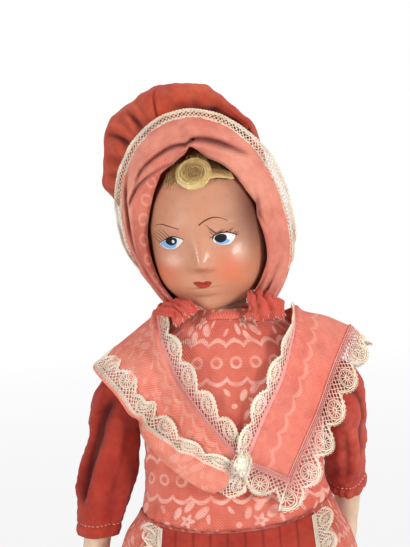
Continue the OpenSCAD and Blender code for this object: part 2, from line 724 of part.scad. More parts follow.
// Stuffed arm with a mitten hand, a shoulder stub, and its disc pocket
function arm_line(z, splay, rx) = sleeve_mid(rx) + tan(splay) * max(0, -z - sleeve_cap_r - fan_off);
arm_sections = [
    [0.03, 0.3, 0.3], [0.015, 0.62, 0.62], [-0.02, 0.84, 0.86], [-0.07, 0.96, 0.97],
    [-0.15, 1, 1], [-0.34, 1, 1], [-0.56, 0.92, 0.92], [-0.74, 0.74, 0.72],
    [-0.8, 0.66, 0.74], [-0.88, 0.6, 0.86], [-0.95, 0.5, 0.7], [-1, 0.2, 0.34]
];
thumb_sections = [[-0.8, 0.3, 2.4], [-0.84, 0.62, 2.6], [-0.88, 0.92, 2.3], [-0.905, 1.04, 1.2]];
function arm_ring(s, splay, rx) = [
    for (i = [0 : 15])
        let (a = 22.5 * i, z = s[0] * arm_len)
        [arm_line(z, splay, rx) + arm_rx * s[1] * cos(a), arm_ry * s[2] * sin(a), z]
];
function thumb_ring(s, splay, rx) = [
    for (i = [0 : 7])
        let (a = 45 * i, z = s[0] * arm_len)
        [arm_line(z, splay, rx) + s[2] * cos(a), -arm_ry * s[1] + s[2] * sin(a), z]
];
module arm(swing, splay, rx) {
    stub = arm_x - chest_rx - gap;
    color(muslin) on_arm(swing) difference() {
        union() {
            loft([for (s = arm_sections) arm_ring(s, splay, rx)]);
            loft([for (s = thumb_sections) thumb_ring(s, splay, rx)]);
            translate([-stub, 0, 0]) along_x() cylinder(r = stub_r, h = stub);
        }
        along_x() pin_hole(-stub - 1, arm_disc_x - arm_x);
        translate([arm_disc_x - arm_x, 0, 0]) along_x() disc_pocket(arm_disc_r);
    }
}
module arm_disc(swing) { on_arm(swing) translate([arm_disc_x - arm_x, 0, 0]) along_x() disc(arm_disc_r); }

// Stuffed leg, flat at the seam it hangs from and round below, down into the shoe
leg_sole_gap = 5;
foot_z = sole_t + leg_sole_gap;
ankle_z = shoe_top + 4;
leg_top_z = hip_z - hip_seam_r - gap;
seam_lap = 1.2;
thigh_sections = [[0, 0.94, 0.12], [0.05, 1, 0.4], [0.1, 1.01, 0.68], [0.16, 1.01, 0.94], [0.28, 1, 1]];
calf_sections = [[0.54, 0.88], [0.6, 0.84], [0.74, 1], [0.87, 0.9]];
function leg_ring(rx, ry, z) = [for (i = [0 : 19]) [rx * cos(18 * i), ry * sin(18 * i), z]];
module leg() {
    h = leg_top_z - ankle_z;
    color(muslin) translate([leg_x, 0, 0]) difference() {
        loft([
            for (s = thigh_sections)
                leg_ring(thigh_r * s[1], thigh_r * s[2], leg_top_z + seam_lap - s[0] * h),
            for (s = calf_sections) leg_ring(calf_r * s[1], calf_r * s[1], leg_top_z - s[0] * h),
            leg_ring(ankle_r, ankle_r, ankle_z),
            leg_ring(ankle_r, ankle_r, foot_z)
        ]);
        translate([0, 0, hip_z]) along_x() cylinder(r = hip_seam_r + gap, h = 3 * thigh_r, center = true);
    }
}
// Knitted sock, turned over at the top
sock_t = 1;
sock_cuff = 10;
function sock_r(z) = lookup(z, [[shoe_top, ankle_r + gap], [sock_top - sock_cuff - 2, calf_r + gap]]);
module sock() {
    low = shoe_top + gap;
    knit = sock_top - sock_cuff - 2;
    color("white") translate([leg_x, 0, 0]) rotate_extrude() polygon([
        [sock_r(low), low], [sock_r(low) + sock_t, low],
        [sock_r(knit) + sock_t, knit], [sock_r(knit) + 2 * sock_t, sock_top - sock_cuff],
        [sock_r(knit) + 2 * sock_t, sock_top], [sock_r(knit), sock_top], [sock_r(knit), knit]
    ]);
}
// Felt shoe on a flat sole, with an ankle strap
toe_y = heel_back - sole_len + toe_r;
toe_h = 9;
shoe_inset = 0.6;
opening_rim = 2.2;
module sole_outline(inset) {
    hull() {
        translate([0, heel_back - heel_r]) circle(r = heel_r - inset);
        translate([0, toe_y]) circle(r = toe_r - inset);
    }
}
module sole() { color("sienna") translate([leg_x, 0, 0]) linear_extrude(sole_t) sole_outline(0); }
module shoe() {
    color([0.18, 0.15, 0.16]) translate([leg_x, 0, 0]) difference() {
        hull() {
            translate([0, 0, sole_t]) linear_extrude(4) sole_outline(shoe_inset);
            translate([0, toe_y, sole_t]) cylinder(r = toe_r - 4, h = toe_h);
            translate([0, heel_back - heel_r, sole_t]) cylinder(r = heel_r - 2, h = shoe_top - sole_t);
            translate([0, 0, shoe_top - 1]) cylinder(r = ankle_r + opening_rim, h = 1);
        }
        translate([0, 0, foot_z - gap]) cylinder(r = ankle_r + gap, h = shoe_top);
    }
}
strap_h = 4;
strap_t = 1.2;
module strap() {
    low = shoe_top + 1;
    color([0.18, 0.15, 0.16]) translate([leg_x, 0, low]) rotate_extrude()
        translate([sock_r(low + strap_h) + sock_t + gap, 0]) square([strap_t, strap_h]);
}

torso();
neck_disc();
neck_pin();
body_discs();
shoulder_pins();
hip_seams();
bodice();
collar();
petticoat();
skirt();
apron();
apron_lace(1);  // apron_lace_left
apron_lace(-1);  // apron_lace_right
fichu_left();
fichu_right();
fichu_lace_neck(left_grid(), left_lift);  // fichu_lace_neck_left
on_right() fichu_lace_neck(right_grid(), right_lift);  // fichu_lace_neck_right
fichu_lace_free(left_grid());  // fichu_lace_edge_left
on_right() fichu_lace_turned(right_grid());  // fichu_lace_edge_right
rosette();
head_ball();
head_disc();
face_mask();
hair_curls();
bonnet_brim();
bonnet_crown();
bonnet_lace();
bonnet_tie(1, 3);  // bonnet_tie_left
bonnet_tie(-1, 0);  // bonnet_tie_right
arm(swing_left, splay_left, sleeve_rx_left);  // arm_left
arm_disc(swing_left);  // arm_disc_left
sleeve(swing_left, splay_left, sleeve_rx_left);  // sleeve_left
on_right() arm(swing_right, splay_right, sleeve_rx_right);  // arm_right
on_right() arm_disc(swing_right);  // arm_disc_right
on_right() sleeve(swing_right, splay_right, sleeve_rx_right);  // sleeve_right
leg();  // leg_left
sock();  // sock_left
shoe();  // shoe_left
sole();  // sole_left
strap();  // strap_left
on_right() leg();  // leg_right
on_right() sock();  // sock_right
on_right() shoe();  // shoe_right
on_right() sole();  // sole_right
on_right() strap();  // strap_right
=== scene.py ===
import functools
import math

import bpy
import numpy as np
from mathutils import Matrix, Vector


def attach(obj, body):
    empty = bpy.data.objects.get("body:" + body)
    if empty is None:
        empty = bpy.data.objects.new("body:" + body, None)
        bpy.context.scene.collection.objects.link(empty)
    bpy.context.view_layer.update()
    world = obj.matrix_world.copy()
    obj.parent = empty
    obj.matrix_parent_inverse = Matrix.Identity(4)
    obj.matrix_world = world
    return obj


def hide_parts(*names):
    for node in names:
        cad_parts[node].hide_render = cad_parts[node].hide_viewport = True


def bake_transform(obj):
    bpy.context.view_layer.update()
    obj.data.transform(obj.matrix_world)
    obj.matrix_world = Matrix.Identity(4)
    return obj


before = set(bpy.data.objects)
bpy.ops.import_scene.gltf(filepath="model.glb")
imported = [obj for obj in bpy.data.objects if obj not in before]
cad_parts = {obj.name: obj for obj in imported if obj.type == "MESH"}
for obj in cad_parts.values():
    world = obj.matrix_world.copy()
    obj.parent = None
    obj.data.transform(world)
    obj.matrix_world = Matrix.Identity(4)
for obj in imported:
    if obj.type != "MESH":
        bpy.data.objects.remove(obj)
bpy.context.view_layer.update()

# Studio
# The doll is seen from the waist up, a little from above and leaning in the frame, on a plain
# pale floor, with a large soft lamp on each side and an even white surround.
LEAN = math.radians(2.2)
RISE = math.radians(4.0)
DISTANCE = 0.9
FRAME_HEIGHT = 0.2462
AIM = Vector((-0.010, 0.0, 0.321))
forward = Vector((0, math.cos(RISE), -math.sin(RISE)))
upright = Vector((0, math.sin(RISE), math.cos(RISE)))
across = Vector((1, 0, 0))
right = across * math.cos(LEAN) - upright * math.sin(LEAN)
up = upright * math.cos(LEAN) + across * math.sin(LEAN)
lens = bpy.data.cameras.new("camera")
lens.lens = DISTANCE * lens.sensor_width / FRAME_HEIGHT
camera = bpy.data.objects.new("camera", lens)
camera.matrix_world = Matrix.Translation(AIM - forward * DISTANCE) @ Matrix(
    (right, up, -forward)).transposed().to_4x4()
bpy.context.scene.collection.objects.link(camera)
bpy.context.scene.camera = camera
bpy.context.scene.view_settings.view_transform = "Standard"


def colour(red, green, blue):
    """A colour given as it looks on a screen, 0 to 255, for a shader's socket."""
    return tuple((c / 255 / 12.92 if c <= 10 else ((c / 255 + 0.055) / 1.055) ** 2.4)
                 for c in (red, green, blue)) + (1.0,)


def soft_lamp(name, place, aim, size, power):
    lamp = bpy.data.lights.new(name, "AREA")
    lamp.energy = power
    lamp.shape = "RECTANGLE"
    lamp.size, lamp.size_y = size
    stand = bpy.data.objects.new(name, lamp)
    stand.location = place
    stand.rotation_euler = (Vector(aim) - Vector(place)).to_track_quat("-Z", "Y").to_euler()
    bpy.context.scene.collection.objects.link(stand)


soft_lamp("lamp_left", (-0.95, -0.70, 0.50), (0, 0, 0.3), (0.3, 0.45), 6.4)
soft_lamp("lamp_right", (0.85, -0.80, 0.54), (0, 0, 0.3), (0.3, 0.45), 9.4)
soft_lamp("lamp_top", (0.0, 0.10, 1.5), (0, 0, 0.3), (0.8, 0.8), 6)


def show_apart(tree, operation, first, second, plain, seen, end):
    """Shows one shader where the camera looks straight at it, and the plain one to all other light."""
    share = tree.nodes.new("ShaderNodeMath")
    share.operation = operation
    pick = tree.nodes.new("ShaderNodeMixShader")
    for source, slot in zip((first, second), share.inputs):
        tree.links.new(source, slot)
    for node, slot in zip((share, plain, seen), pick.inputs):
        tree.links.new(node.outputs[0], slot)
    tree.links.new(pick.outputs[0], tree.nodes[end].inputs["Surface"])


world = bpy.data.worlds.new("surround")
world.use_nodes = True
tree = world.node_tree
surround = tree.nodes["Background"]
backdrop = tree.nodes.new("ShaderNodeBackground")
for background, strength in ((surround, 0.33), (backdrop, 1.0)):
    background.inputs["Color"].default_value = (1, 1, 1, 1)
    background.inputs["Strength"].default_value = strength
rays = tree.nodes.new("ShaderNodeLightPath").outputs
show_apart(tree, "MAXIMUM", rays["Is Camera Ray"], rays["Is Transmission Ray"], surround, backdrop,
           "World Output")
bpy.context.scene.world = world

FLOOR = 4
floor_mesh = bpy.data.meshes.new("floor")
floor_mesh.from_pydata([(-FLOOR, -FLOOR, 0), (FLOOR, -FLOOR, 0), (FLOOR, FLOOR, 0), (-FLOOR, FLOOR, 0)], [],
                       [(0, 1, 2, 3)])
floor = bpy.data.objects.new("floor", floor_mesh)
bpy.context.scene.collection.objects.link(floor)
paper = bpy.data.materials.new("floor_paper")
paper.use_nodes = True
tree = paper.node_tree
sheet = tree.nodes["Principled BSDF"]
sheet.inputs["Base Color"].default_value = colour(244, 243, 242)
sheet.inputs["Roughness"].default_value = 0.9
bright = tree.nodes.new("ShaderNodeEmission")
bright.inputs["Strength"].default_value = 1.0
rays = tree.nodes.new("ShaderNodeLightPath").outputs
spot = tree.nodes.new("ShaderNodeTexCoord")
part = tree.nodes.new("ShaderNodeSeparateXYZ")
tree.links.new(spot.outputs["Object"], part.inputs[0])
far = tree.nodes.new("ShaderNodeMapRange")
for label, value in (("From Min", 0.8), ("From Max", 2.6), ("To Min", 0.82), ("To Max", 1.0)):
    far.inputs[label].default_value = value
tree.links.new(part.outputs["Y"], far.inputs["Value"])
show_apart(tree, "MULTIPLY", rays["Is Camera Ray"], far.outputs[0], sheet, bright, "Material Output")
floor_mesh.materials.append(paper)


# Stuffed body
# A muslin body sewn from a front and a back with a seam up each side, filled firmly and closed
# flat across the bottom, where the legs hang from a rolled seam.
def make_piece(name, finish, points, blocks, corners=None):
    """A shown piece from points in millimetres and blocks of faces, with its flat map at the corners."""
    blocks = [np.asarray(block) for block in blocks]
    index = np.concatenate([block.ravel() for block in blocks])
    sizes = np.concatenate([np.full(len(block), block.shape[1]) for block in blocks])
    mesh = bpy.data.meshes.new(name)
    mesh.vertices.add(len(points))
    mesh.vertices.foreach_set("co", (np.asarray(points) * 0.001).astype(np.float32).ravel())
    mesh.loops.add(len(index))
    mesh.loops.foreach_set("vertex_index", index.astype(np.int32))
    mesh.polygons.add(len(sizes))
    mesh.polygons.foreach_set("loop_start", (np.cumsum(sizes) - sizes).astype(np.int32))
    mesh.update(calc_edges=True)
    mesh.shade_smooth()
    mesh.materials.append(finish)
    if corners is not None:
        mesh.uv_layers.new(name="flat").data.foreach_set("uv", corners.astype(np.float32).ravel())
    piece = bpy.data.objects.new(name, mesh)
    bpy.context.scene.collection.objects.link(piece)
    return piece


def cloth_piece(name, finish, grid, flat=None, wrap=False, closed=False, flip=False):
    """A grid of points as one sheet, or as a tube, whose ends may be closed, with its flat map."""
    flat = tube_map(grid) if flat is None else flat
    rows, cols = grid.shape[:2]
    i, j = np.meshgrid(np.arange(rows - 1), np.arange(cols if wrap else cols - 1), indexing="ij")
    k, wide = (j + 1) % cols, flat.shape[1]
    blocks = [np.stack([i * cols + j, (i + 1) * cols + j, (i + 1) * cols + k, i * cols + k],
                       -1).reshape(-1, 4)]
    spots = np.stack([i * wide + j, (i + 1) * wide + j, (i + 1) * wide + j + 1, i * wide + j + 1], -1)
    corners = flat.reshape(-1, 2)[spots.reshape(-1, 4)]
    if flip:
        blocks[0], corners = blocks[0][:, ::-1], corners[:, ::-1]
    points, corners = grid.reshape(-1, 3), [corners.reshape(-1, 2)]
    if closed:
        ring = np.arange(cols)
        for row, turn in ((0, 1), (rows - 1, -1)):
            points = np.vstack([points, grid[row].mean(0)])
            ends = np.stack([np.full(cols, len(points) - 1), row * cols + ring,
                             row * cols + np.roll(ring, -1)], -1)
            blocks.append(ends if turn > 0 else ends[:, ::-1])
            corners.append(points[ends if turn > 0 else ends[:, ::-1]][..., :2].reshape(-1, 2))
    return make_piece(name, finish, points, blocks, np.concatenate(corners))


def thicken(piece, thickness):
    layer = piece.modifiers.new("cloth", "SOLIDIFY")
    layer.thickness, layer.offset = thickness * 0.001, -1


def mark(piece, name, values):
    """Keeps a value for each point of a piece, which its material reads by that name."""
    points = piece.data.attributes.new(name, "FLOAT", "POINT").data
    spare = np.zeros(len(points) - np.size(values))
    points.foreach_set("value", np.concatenate([np.ravel(values), spare]).astype(np.float32))


def mix(a, b, t):
    return a + (b - a) * t


def ease(t):
    t = np.clip(t, 0, 1)
    return t * t * (3 - 2 * t)


def swell(points, size, seed):
    """Soft uneven rise and fall over points, about -1 to 1, in waves near the given size."""
    dice = np.random.default_rng(seed)
    waves = dice.normal(size=(9, 3))
    waves *= (2 * np.pi / size * dice.uniform(0.6, 1.5, 9) / np.linalg.norm(waves, axis=1))[:, None]
    return np.sin(np.asarray(points) @ waves.T + dice.uniform(0, 2 * np.pi, 9)).sum(-1) / 3.6


def crease(distance, width):
    """The section of a crease: a sharp valley with a soft ridge on each side."""
    d = np.abs(distance) / width
    return 0.4 * np.exp(-((d - 2.2) / 1.2) ** 2) - np.exp(-d ** 1.5)


def oval(rx, ry, angle, power):
    c, s = np.cos(angle), np.sin(angle)
    return rx * np.sign(c) * np.abs(c) ** (2 / power), ry * np.sign(s) * np.abs(s) ** (2 / power)


# Sections of the body: height, half width and half depth; the power makes its oval squarer than a circle
BODY_POWER = 2.3
BODY = np.array([
    [174, 31.5, 2.2], [180, 36, 10], [188, 39, 18], [198, 38.7, 25], [214, 39.5, 27], [240, 39, 26],
    [262, 39.5, 25.5], [278, 39.5, 24], [287, 36.5, 22], [294, 30.5, 19.5], [302, 20, 17], [308, 13, 13]])


def section_half(table, z, side):
    """The half width (side 1) or half depth (side 2) at a height, smoothed between a table's sections."""
    return np.mean([np.interp(z + step, table[:, 0], table[:, side]) for step in (-3, -1, 1, 3)], axis=0)


def body_half(z, side):
    return section_half(BODY, z, side)


def on_body(angle, z, out):
    """Points on the body's surface, moved out from it; the angle turns from the doll's left to its back."""
    angle, z, out = np.broadcast_arrays(angle, z, out)
    x, y = oval(body_half(z, 1) + out, body_half(z, 2) + out, angle, BODY_POWER)
    return np.stack([x, y, z], -1).astype(float)


def round_angles(count):
    return np.linspace(0, 2 * np.pi, count, endpoint=False)


def tube_map(grid):
    """The flat map of a tube: the way round and the way down, in millimetres."""
    ring = np.concatenate([grid, grid[:, :1]], 1)
    round_way = np.linalg.norm(np.diff(ring, axis=1), axis=-1).mean(0)
    down_way = np.linalg.norm(np.diff(grid, axis=0), axis=-1).mean(1)
    u = np.concatenate([[0], np.cumsum(round_way)])
    v = np.concatenate([[0], np.cumsum(down_way)])
    return np.stack(np.meshgrid(u, -v), -1)


def feed(node, **values):
    """Links values to a node's sockets, or sets the sockets where a value is plain; _ stands for a space."""
    for label, value in values.items():
        put(node, node.inputs[label.replace("_", " ")], value)


def put(node, slot, value):
    value = value.socket if isinstance(value, Field) else value
    if isinstance(value, bpy.types.NodeSocket):
        node.id_data.links.new(value, slot)
    else:
        slot.default_value = value


class Field:
    """A value over a surface that is worked out by shader nodes as it is written in the script."""

    def __init__(self, tree, socket):
        self.tree, self.socket = tree, socket

    def math(self, operation, *others, clamp=False):
        node = self.tree.nodes.new("ShaderNodeMath")
        node.operation, node.use_clamp = operation, clamp
        for slot, value in zip(node.inputs, (self,) + others):
            put(node, slot, value)
        return Field(self.tree, node.outputs[0])

    def __add__(self, other): return self.math("ADD", other)
    def __sub__(self, other): return self.math("SUBTRACT", other)
    def __mul__(self, other): return self.math("MULTIPLY", other)
    def __abs__(self): return self.math("ABSOLUTE")
    def sin(self): return self.math("SINE")
    def repeat(self, size): return self.math("FLOORED_MODULO", size) - size / 2
    def length(self, other): return (self * self + other * other).math("SQRT")
    def most(self, other): return self.math("MAXIMUM", other)

    def below(self, edge, soft):
        """1 where the value is under the edge, 0 over it, with a soft step between."""
        return (self * (-1 / soft)).math("ADD", edge * (1 / soft) + 0.5, clamp=True)


def effect(name, inputs, outputs):
    """A shader node group with named inputs and outputs."""
    group = bpy.data.node_groups.new(name, "ShaderNodeTree")
    for label, kind, value in inputs:
        socket = group.interface.new_socket(label, in_out="INPUT", socket_type="NodeSocket" + kind)
        if value is not None:
            socket.default_value = value
    for label, kind in outputs:
        group.interface.new_socket(label, in_out="OUTPUT", socket_type="NodeSocket" + kind)
    return group, group.nodes.new("NodeGroupInput"), group.nodes.new("NodeGroupOutput")


def noise(tree, place, size, detail=3.0):
    """Cloudy noise, 0 to 1, with blotches of the given size in the units of the place."""
    node = tree.nodes.new("ShaderNodeTexNoise")
    feed(node, Scale=1 / size, Detail=detail, Vector=place)
    return Field(tree, node.outputs["Fac"])


def blend_colour(tree, share, first, second, how="MIX"):
    node = tree.nodes.new("ShaderNodeMix")
    node.data_type, node.blend_type = "RGBA", how
    for label, value in (("Factor_Float", share), ("A_Color", first), ("B_Color", second)):
        put(node, next(s for s in node.inputs if s.identifier == label), value)
    return next(s for s in node.outputs if s.identifier == "Result_Color")


# The weave of cotton cloth: threads that cross, or slanting ribs where Slant is 1
weave, enter, leave = effect(
    "cotton_weave", [("Place", "Vector", None), ("Pitch", "Float", 0.6), ("Slant", "Float", 0.0)],
    [("Height", "Float")])
split = weave.nodes.new("ShaderNodeSeparateXYZ")
weave.links.new(enter.outputs["Place"], split.inputs[0])
turns = Field(weave, enter.outputs["Pitch"]).math("POWER", -1) * (2 * math.pi)
slant = Field(weave, enter.outputs["Slant"])
wander = noise(weave, enter.outputs["Place"], 4.0, 1.0) * 0.6
warp = ((Field(weave, split.outputs["X"]) + slant * Field(weave, split.outputs["Y"]) + wander) * turns).sin()
weft = ((Field(weave, split.outputs["Y"]) + wander) * turns).sin()
height = (warp * weft) * (slant * -1 + 1) + (warp * 0.8 + weft * 0.2) * slant
weave.links.new((height * 0.5 + 0.5).socket, leave.inputs["Height"])

# The age of cloth: large faded patches, small mottling and soiled spots
ageing, enter, leave = effect(
    "cloth_age", [("Place", "Vector", None), ("Colour", "Color", None), ("Faded", "Color", None),
                  ("Fade", "Float", 0.5)], [("Colour", "Color")])
patches = noise(ageing, enter.outputs["Place"], 0.030, 3.0)
mottle = noise(ageing, enter.outputs["Place"], 0.0035, 4.0)
share = ((patches - 0.5) * 2.4 + (mottle - 0.5) * 0.9 + Field(ageing, enter.outputs["Fade"])).math(
    "ADD", 0.0, clamp=True)
tone = blend_colour(ageing, share, enter.outputs["Colour"], enter.outputs["Faded"])
soil = noise(ageing, enter.outputs["Place"], 0.012, 5.0).below(0.36, 0.2) * 0.22
tone = blend_colour(ageing, soil, tone, colour(112, 62, 40))
ageing.links.new(tone, leave.inputs["Colour"])


def new_material(name):
    material = bpy.data.materials.new(name)
    material.use_nodes = True
    tree = material.node_tree
    shader = tree.nodes["Principled BSDF"]
    place = tree.nodes.new("ShaderNodeTexCoord").outputs["Object"]
    return material, tree, shader, place


def add_group(tree, group, **values):
    node = tree.nodes.new("ShaderNodeGroup")
    node.node_tree = group
    feed(node, **values)
    return node


def bump_normal(tree, shader, height, distance):
    node = tree.nodes.new("ShaderNodeBump")
    feed(node, Distance=distance, Strength=1.0, Height=height)
    feed(shader, Normal=node.outputs["Normal"])


def flat_lay(tree):
    """The place on the flat map of a piece, in millimetres."""
    lay = tree.nodes.new("ShaderNodeUVMap")
    lay.uv_map = "flat"
    return lay.outputs["UV"]


def marked(tree, name):
    """The value that the points of a piece were marked with under that name."""
    node = tree.nodes.new("ShaderNodeAttribute")
    node.attribute_name = name
    return Field(tree, node.outputs["Fac"])


def cotton(name, fresh, faded, fade=0.45, pitch=0.6, slant=0.0, relief=0.12, pattern=None):
    """Woven cotton: aged colour, a pattern printed on it if it has one, painted shade in its marked creases
    and between its threads, and the relief of its threads.
    """
    material, tree, shader, place = new_material(name)
    lay = flat_lay(tree)
    aged = add_group(tree, ageing, Place=place, Colour=fresh, Faded=faded, Fade=fade)
    tone = aged.outputs["Colour"]
    if pattern:
        tone = pattern(tree, lay, place, tone)
    # Painted shade: the colour darkens towards a deep tone where the piece's points are marked as shaded, in
    # creases and recesses
    deep = tuple(part * dark for part, dark in zip(fresh, (0.26, 0.14, 0.14, 1.0)))
    tone = blend_colour(tree, marked(tree, "painted_shade"), tone, deep)
    threads = add_group(tree, weave, Place=lay, Pitch=pitch, Slant=slant)
    rise = Field(tree, threads.outputs["Height"])
    # Painted shade between the threads: the colour is darker where the weave lies low
    shade = rise * (0.16 + 0.2 * slant) + (0.88 - 0.1 * slant)
    grey = tree.nodes.new("ShaderNodeCombineColor")
    for slot in grey.inputs:
        tree.links.new(shade.socket, slot)
    feed(shader, Base_Color=blend_colour(tree, 1.0, tone, grey.outputs[0], "MULTIPLY"),
         Roughness=rise * -0.1 + 0.95, Sheen_Weight=0.12, Sheen_Roughness=0.6, Specular_IOR_Level=0.2)
    fuzz = noise(tree, lay, 1.7, 4.0)
    bump_normal(tree, shader, rise + fuzz * 0.8, relief * 0.001)
    return material


muslin = cotton("muslin", colour(226, 190, 158), colour(240, 214, 186), pitch=0.55, relief=0.1)

angle = round_angles(72)[None, :]
level = np.concatenate([np.linspace(303.5, 176, 86), [174.6]])[:, None]
seam_mark = 0.7 * np.exp(-((np.abs(np.sin(angle)) * 38) / 1.1) ** 2)
body = on_body(angle, level, -seam_mark)
body += 0.3 * swell(body, 22, 1)[..., None] * np.array([1, 1, 0])
torso = cloth_piece("stuffed_body", muslin, body, wrap=True, closed=True)
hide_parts("torso")
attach(torso, "torso")


# Disc joints
# Pasteboard discs, drawn together by steel cotter pins, hold the head and the arms to the body, so
# each one turns and stays where it is put. They lie inside the stuffed pieces.
def refinish(material, *nodes):
    """Gives solids that are shown as they are a material of their own."""
    for node in nodes:
        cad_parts[node].data.materials.clear()
        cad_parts[node].data.materials.append(material)


material, tree, shader, place = new_material("pasteboard")
fibre = noise(tree, place, 0.0012, 5.0)
feed(shader, Base_Color=blend_colour(tree, fibre, colour(150, 118, 82), colour(196, 166, 126)), Roughness=0.9)
bump_normal(tree, shader, fibre, 0.0001)
refinish(material, "neck_disc", "body_discs", "head_disc", "arm_disc_left", "arm_disc_right")

material, tree, shader, place = new_material("pin_steel")
scuffs = noise(tree, place, 0.0008, 4.0)
feed(shader, Base_Color=blend_colour(tree, scuffs, colour(120, 118, 114), colour(178, 176, 172)),
     Metallic=1.0, Roughness=scuffs * 0.3 + 0.3)
refinish(material, "neck_pin", "shoulder_pins")


# Hip seams
# The bottom of the body is rolled and oversewn into a cord of muslin that each leg hangs and
# swings from. The oversewing shows as slanting ribs.
SIDES = (("left", 1), ("right", -1))
LEG_APART = 17
ROLL_LEVEL, ROLL_HALF, ROLL_RADIUS, ROLL_RIBS = 172.3, 12, 1.4, 3.4


def roll_seam(side, sign):
    turn, way = round_angles(16)[None, :], np.linspace(-ROLL_HALF, ROLL_HALF, 61)[:, None]
    ends = np.sqrt(np.clip(1.02 - (way / ROLL_HALF) ** 8, 0, 1))
    r = (ROLL_RADIUS - 0.15 + 0.15 * np.cos(turn + way * ROLL_RIBS)) * ends
    grid = np.stack([sign * LEG_APART + way + 0 * turn, r * np.cos(turn), ROLL_LEVEL + r * np.sin(turn)], -1)
    roll = cloth_piece("hip_seam_" + side, muslin, grid, wrap=True, closed=True)
    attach(roll, "torso")
    return roll


rolls = [roll_seam(side, sign) for side, sign in SIDES]
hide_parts("hip_seams")

# Legs
# Each leg is a tube of muslin with a seam up the back, stuffed to the knee and the calf and
# pressed flat at the top, where it is sewn to the rolled seam.
LEG = np.array([
    [8, 8, 8], [19, 8, 8], [39, 9.5, 9.5], [58, 10.6, 10.6], [79, 9.0, 9.2], [89, 9.6, 9.6],
    [129, 13, 13], [147.5, 13.1, 12.2], [156.6, 13.1, 8.9], [164, 13, 5.2], [171.8, 12.2, 1.6]])
KNEE = 82


def leg_half(z, side):
    return section_half(LEG, z, side)


def hang_leg(side, sign):
    angle, level = round_angles(48)[None, :], np.linspace(170.6, 8.2, 90)[:, None]
    seam = 0.5 * np.exp(-((angle - np.pi / 2) * 10 / 0.9) ** 2)
    knee = 0.5 * np.exp(-((level - KNEE) / 2.0) ** 2)
    x, y = oval(leg_half(level, 1) - seam - knee, leg_half(level, 2) - seam - knee, angle, 2.2)
    grid = np.stack([sign * LEG_APART + x, y, level + 0 * x], -1)
    grid[..., :2] += 0.22 * swell(grid, 16, 5 + sign)[..., None]
    leg = cloth_piece("stuffed_leg_" + side, muslin, grid, wrap=True, closed=True)
    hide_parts("leg_" + side)
    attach(leg, "leg_" + side)


for side, sign in SIDES:
    hang_leg(side, sign)

# Socks
# Short tubes of white knitted cotton, ribbed from end to end, with the top turned down into a
# cuff. They are pulled on over the legs and tucked into the shoes.
sock_knit, tree, shader, place = new_material("sock_knit")
split = tree.nodes.new("ShaderNodeSeparateXYZ")
tree.links.new(flat_lay(tree), split.inputs[0])
across_way, down_way = Field(tree, split.outputs["X"]), Field(tree, split.outputs["Y"])
column = abs((across_way * (math.pi / 1.1)).sin())
loops = abs(((down_way + column * 0.35) * (math.pi / 0.8)).sin())
aged = add_group(tree, ageing, Place=place, Colour=colour(222, 210, 194), Faded=colour(240, 234, 224),
                 Fade=0.5)
# Painted shade in the grooves between the knitted loops
tone = blend_colour(tree, loops * column * 0.5 + 0.5, colour(170, 152, 132), aged.outputs[0])
feed(shader, Base_Color=tone, Roughness=0.95, Sheen_Weight=0.3)
bump_normal(tree, shader, loops * column, 0.0003)

SOCK_TOP, SOCK_CUFF, SOCK_END = 57.4, 49, 15.4


def pull_on_sock(side, sign):
    angle = round_angles(144)[None, :]
    way = np.concatenate([np.linspace(SOCK_CUFF, SOCK_TOP, 12),
                          SOCK_TOP + 0.6 * np.sin(np.linspace(0, np.pi, 6)[1:-1]),
                          np.linspace(SOCK_TOP, SOCK_END, 60)])[:, None]
    cuff = np.concatenate([np.full(12, 1.3), 1.3 - 0.75 * np.linspace(0, 1, 6)[1:-1],
                           np.full(60, 0.55)])[:, None]
    slouch = 0.25 * np.sin(way * 0.9 + 2 * np.sin(angle + sign)) * ease((40 - way) / 12)
    r = leg_half(way, 1) + 0.35 + cuff + 0.16 * np.cos(36 * angle) + slouch
    grid = np.stack([sign * LEG_APART + r * np.cos(angle), r * np.sin(angle), way + 0 * angle], -1)
    sock = cloth_piece("knit_sock_" + side, sock_knit, grid, wrap=True)
    thicken(sock, 0.4)
    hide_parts("sock_" + side)
    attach(sock, "leg_" + side)
    "stuffed_leg_" + side


for side, sign in SIDES:
    pull_on_sock(side, sign)

# Shoes
# Black felt slippers sewn round a leather sole, with a strap over the instep that closes with a
# small bead, and a bound top edge.
black_felt, tree, shader, place = new_material("black_felt")
lint = noise(tree, place, 0.0011, 6.0)
nap = noise(tree, place, 0.006, 3.0)
tone = blend_colour(tree, lint * 0.6 + nap * 0.4, colour(22, 19, 19), colour(74, 66, 62))
feed(shader, Base_Color=tone, Roughness=0.95, Sheen_Weight=0.5)
bump_normal(tree, shader, lint, 0.0004)

material, tree, shader, place = new_material("sole_leather")
grain = noise(tree, place, 0.0009, 5.0)
wear = noise(tree, place, 0.009, 3.0)
tone = blend_colour(tree, wear, colour(104, 66, 40), colour(166, 118, 76))
feed(shader, Base_Color=tone, Roughness=grain * 0.4 + 0.45)
bump_normal(tree, shader, grain, 0.0002)
refinish(material, "sole_left", "sole_right")

bead_glass, tree, shader, place = new_material("bead_glass")
swirl = noise(tree, place, 0.002, 2.0)
tone = blend_colour(tree, swirl, colour(14, 12, 14), colour(40, 34, 38))
feed(shader, Base_Color=tone, Roughness=swirl * 0.2 + 0.12)

HEEL_HALF, TOE_HALF, SHOE_TOP, STRAP_LEVEL = 9.4, 11.3, 14.7, 19


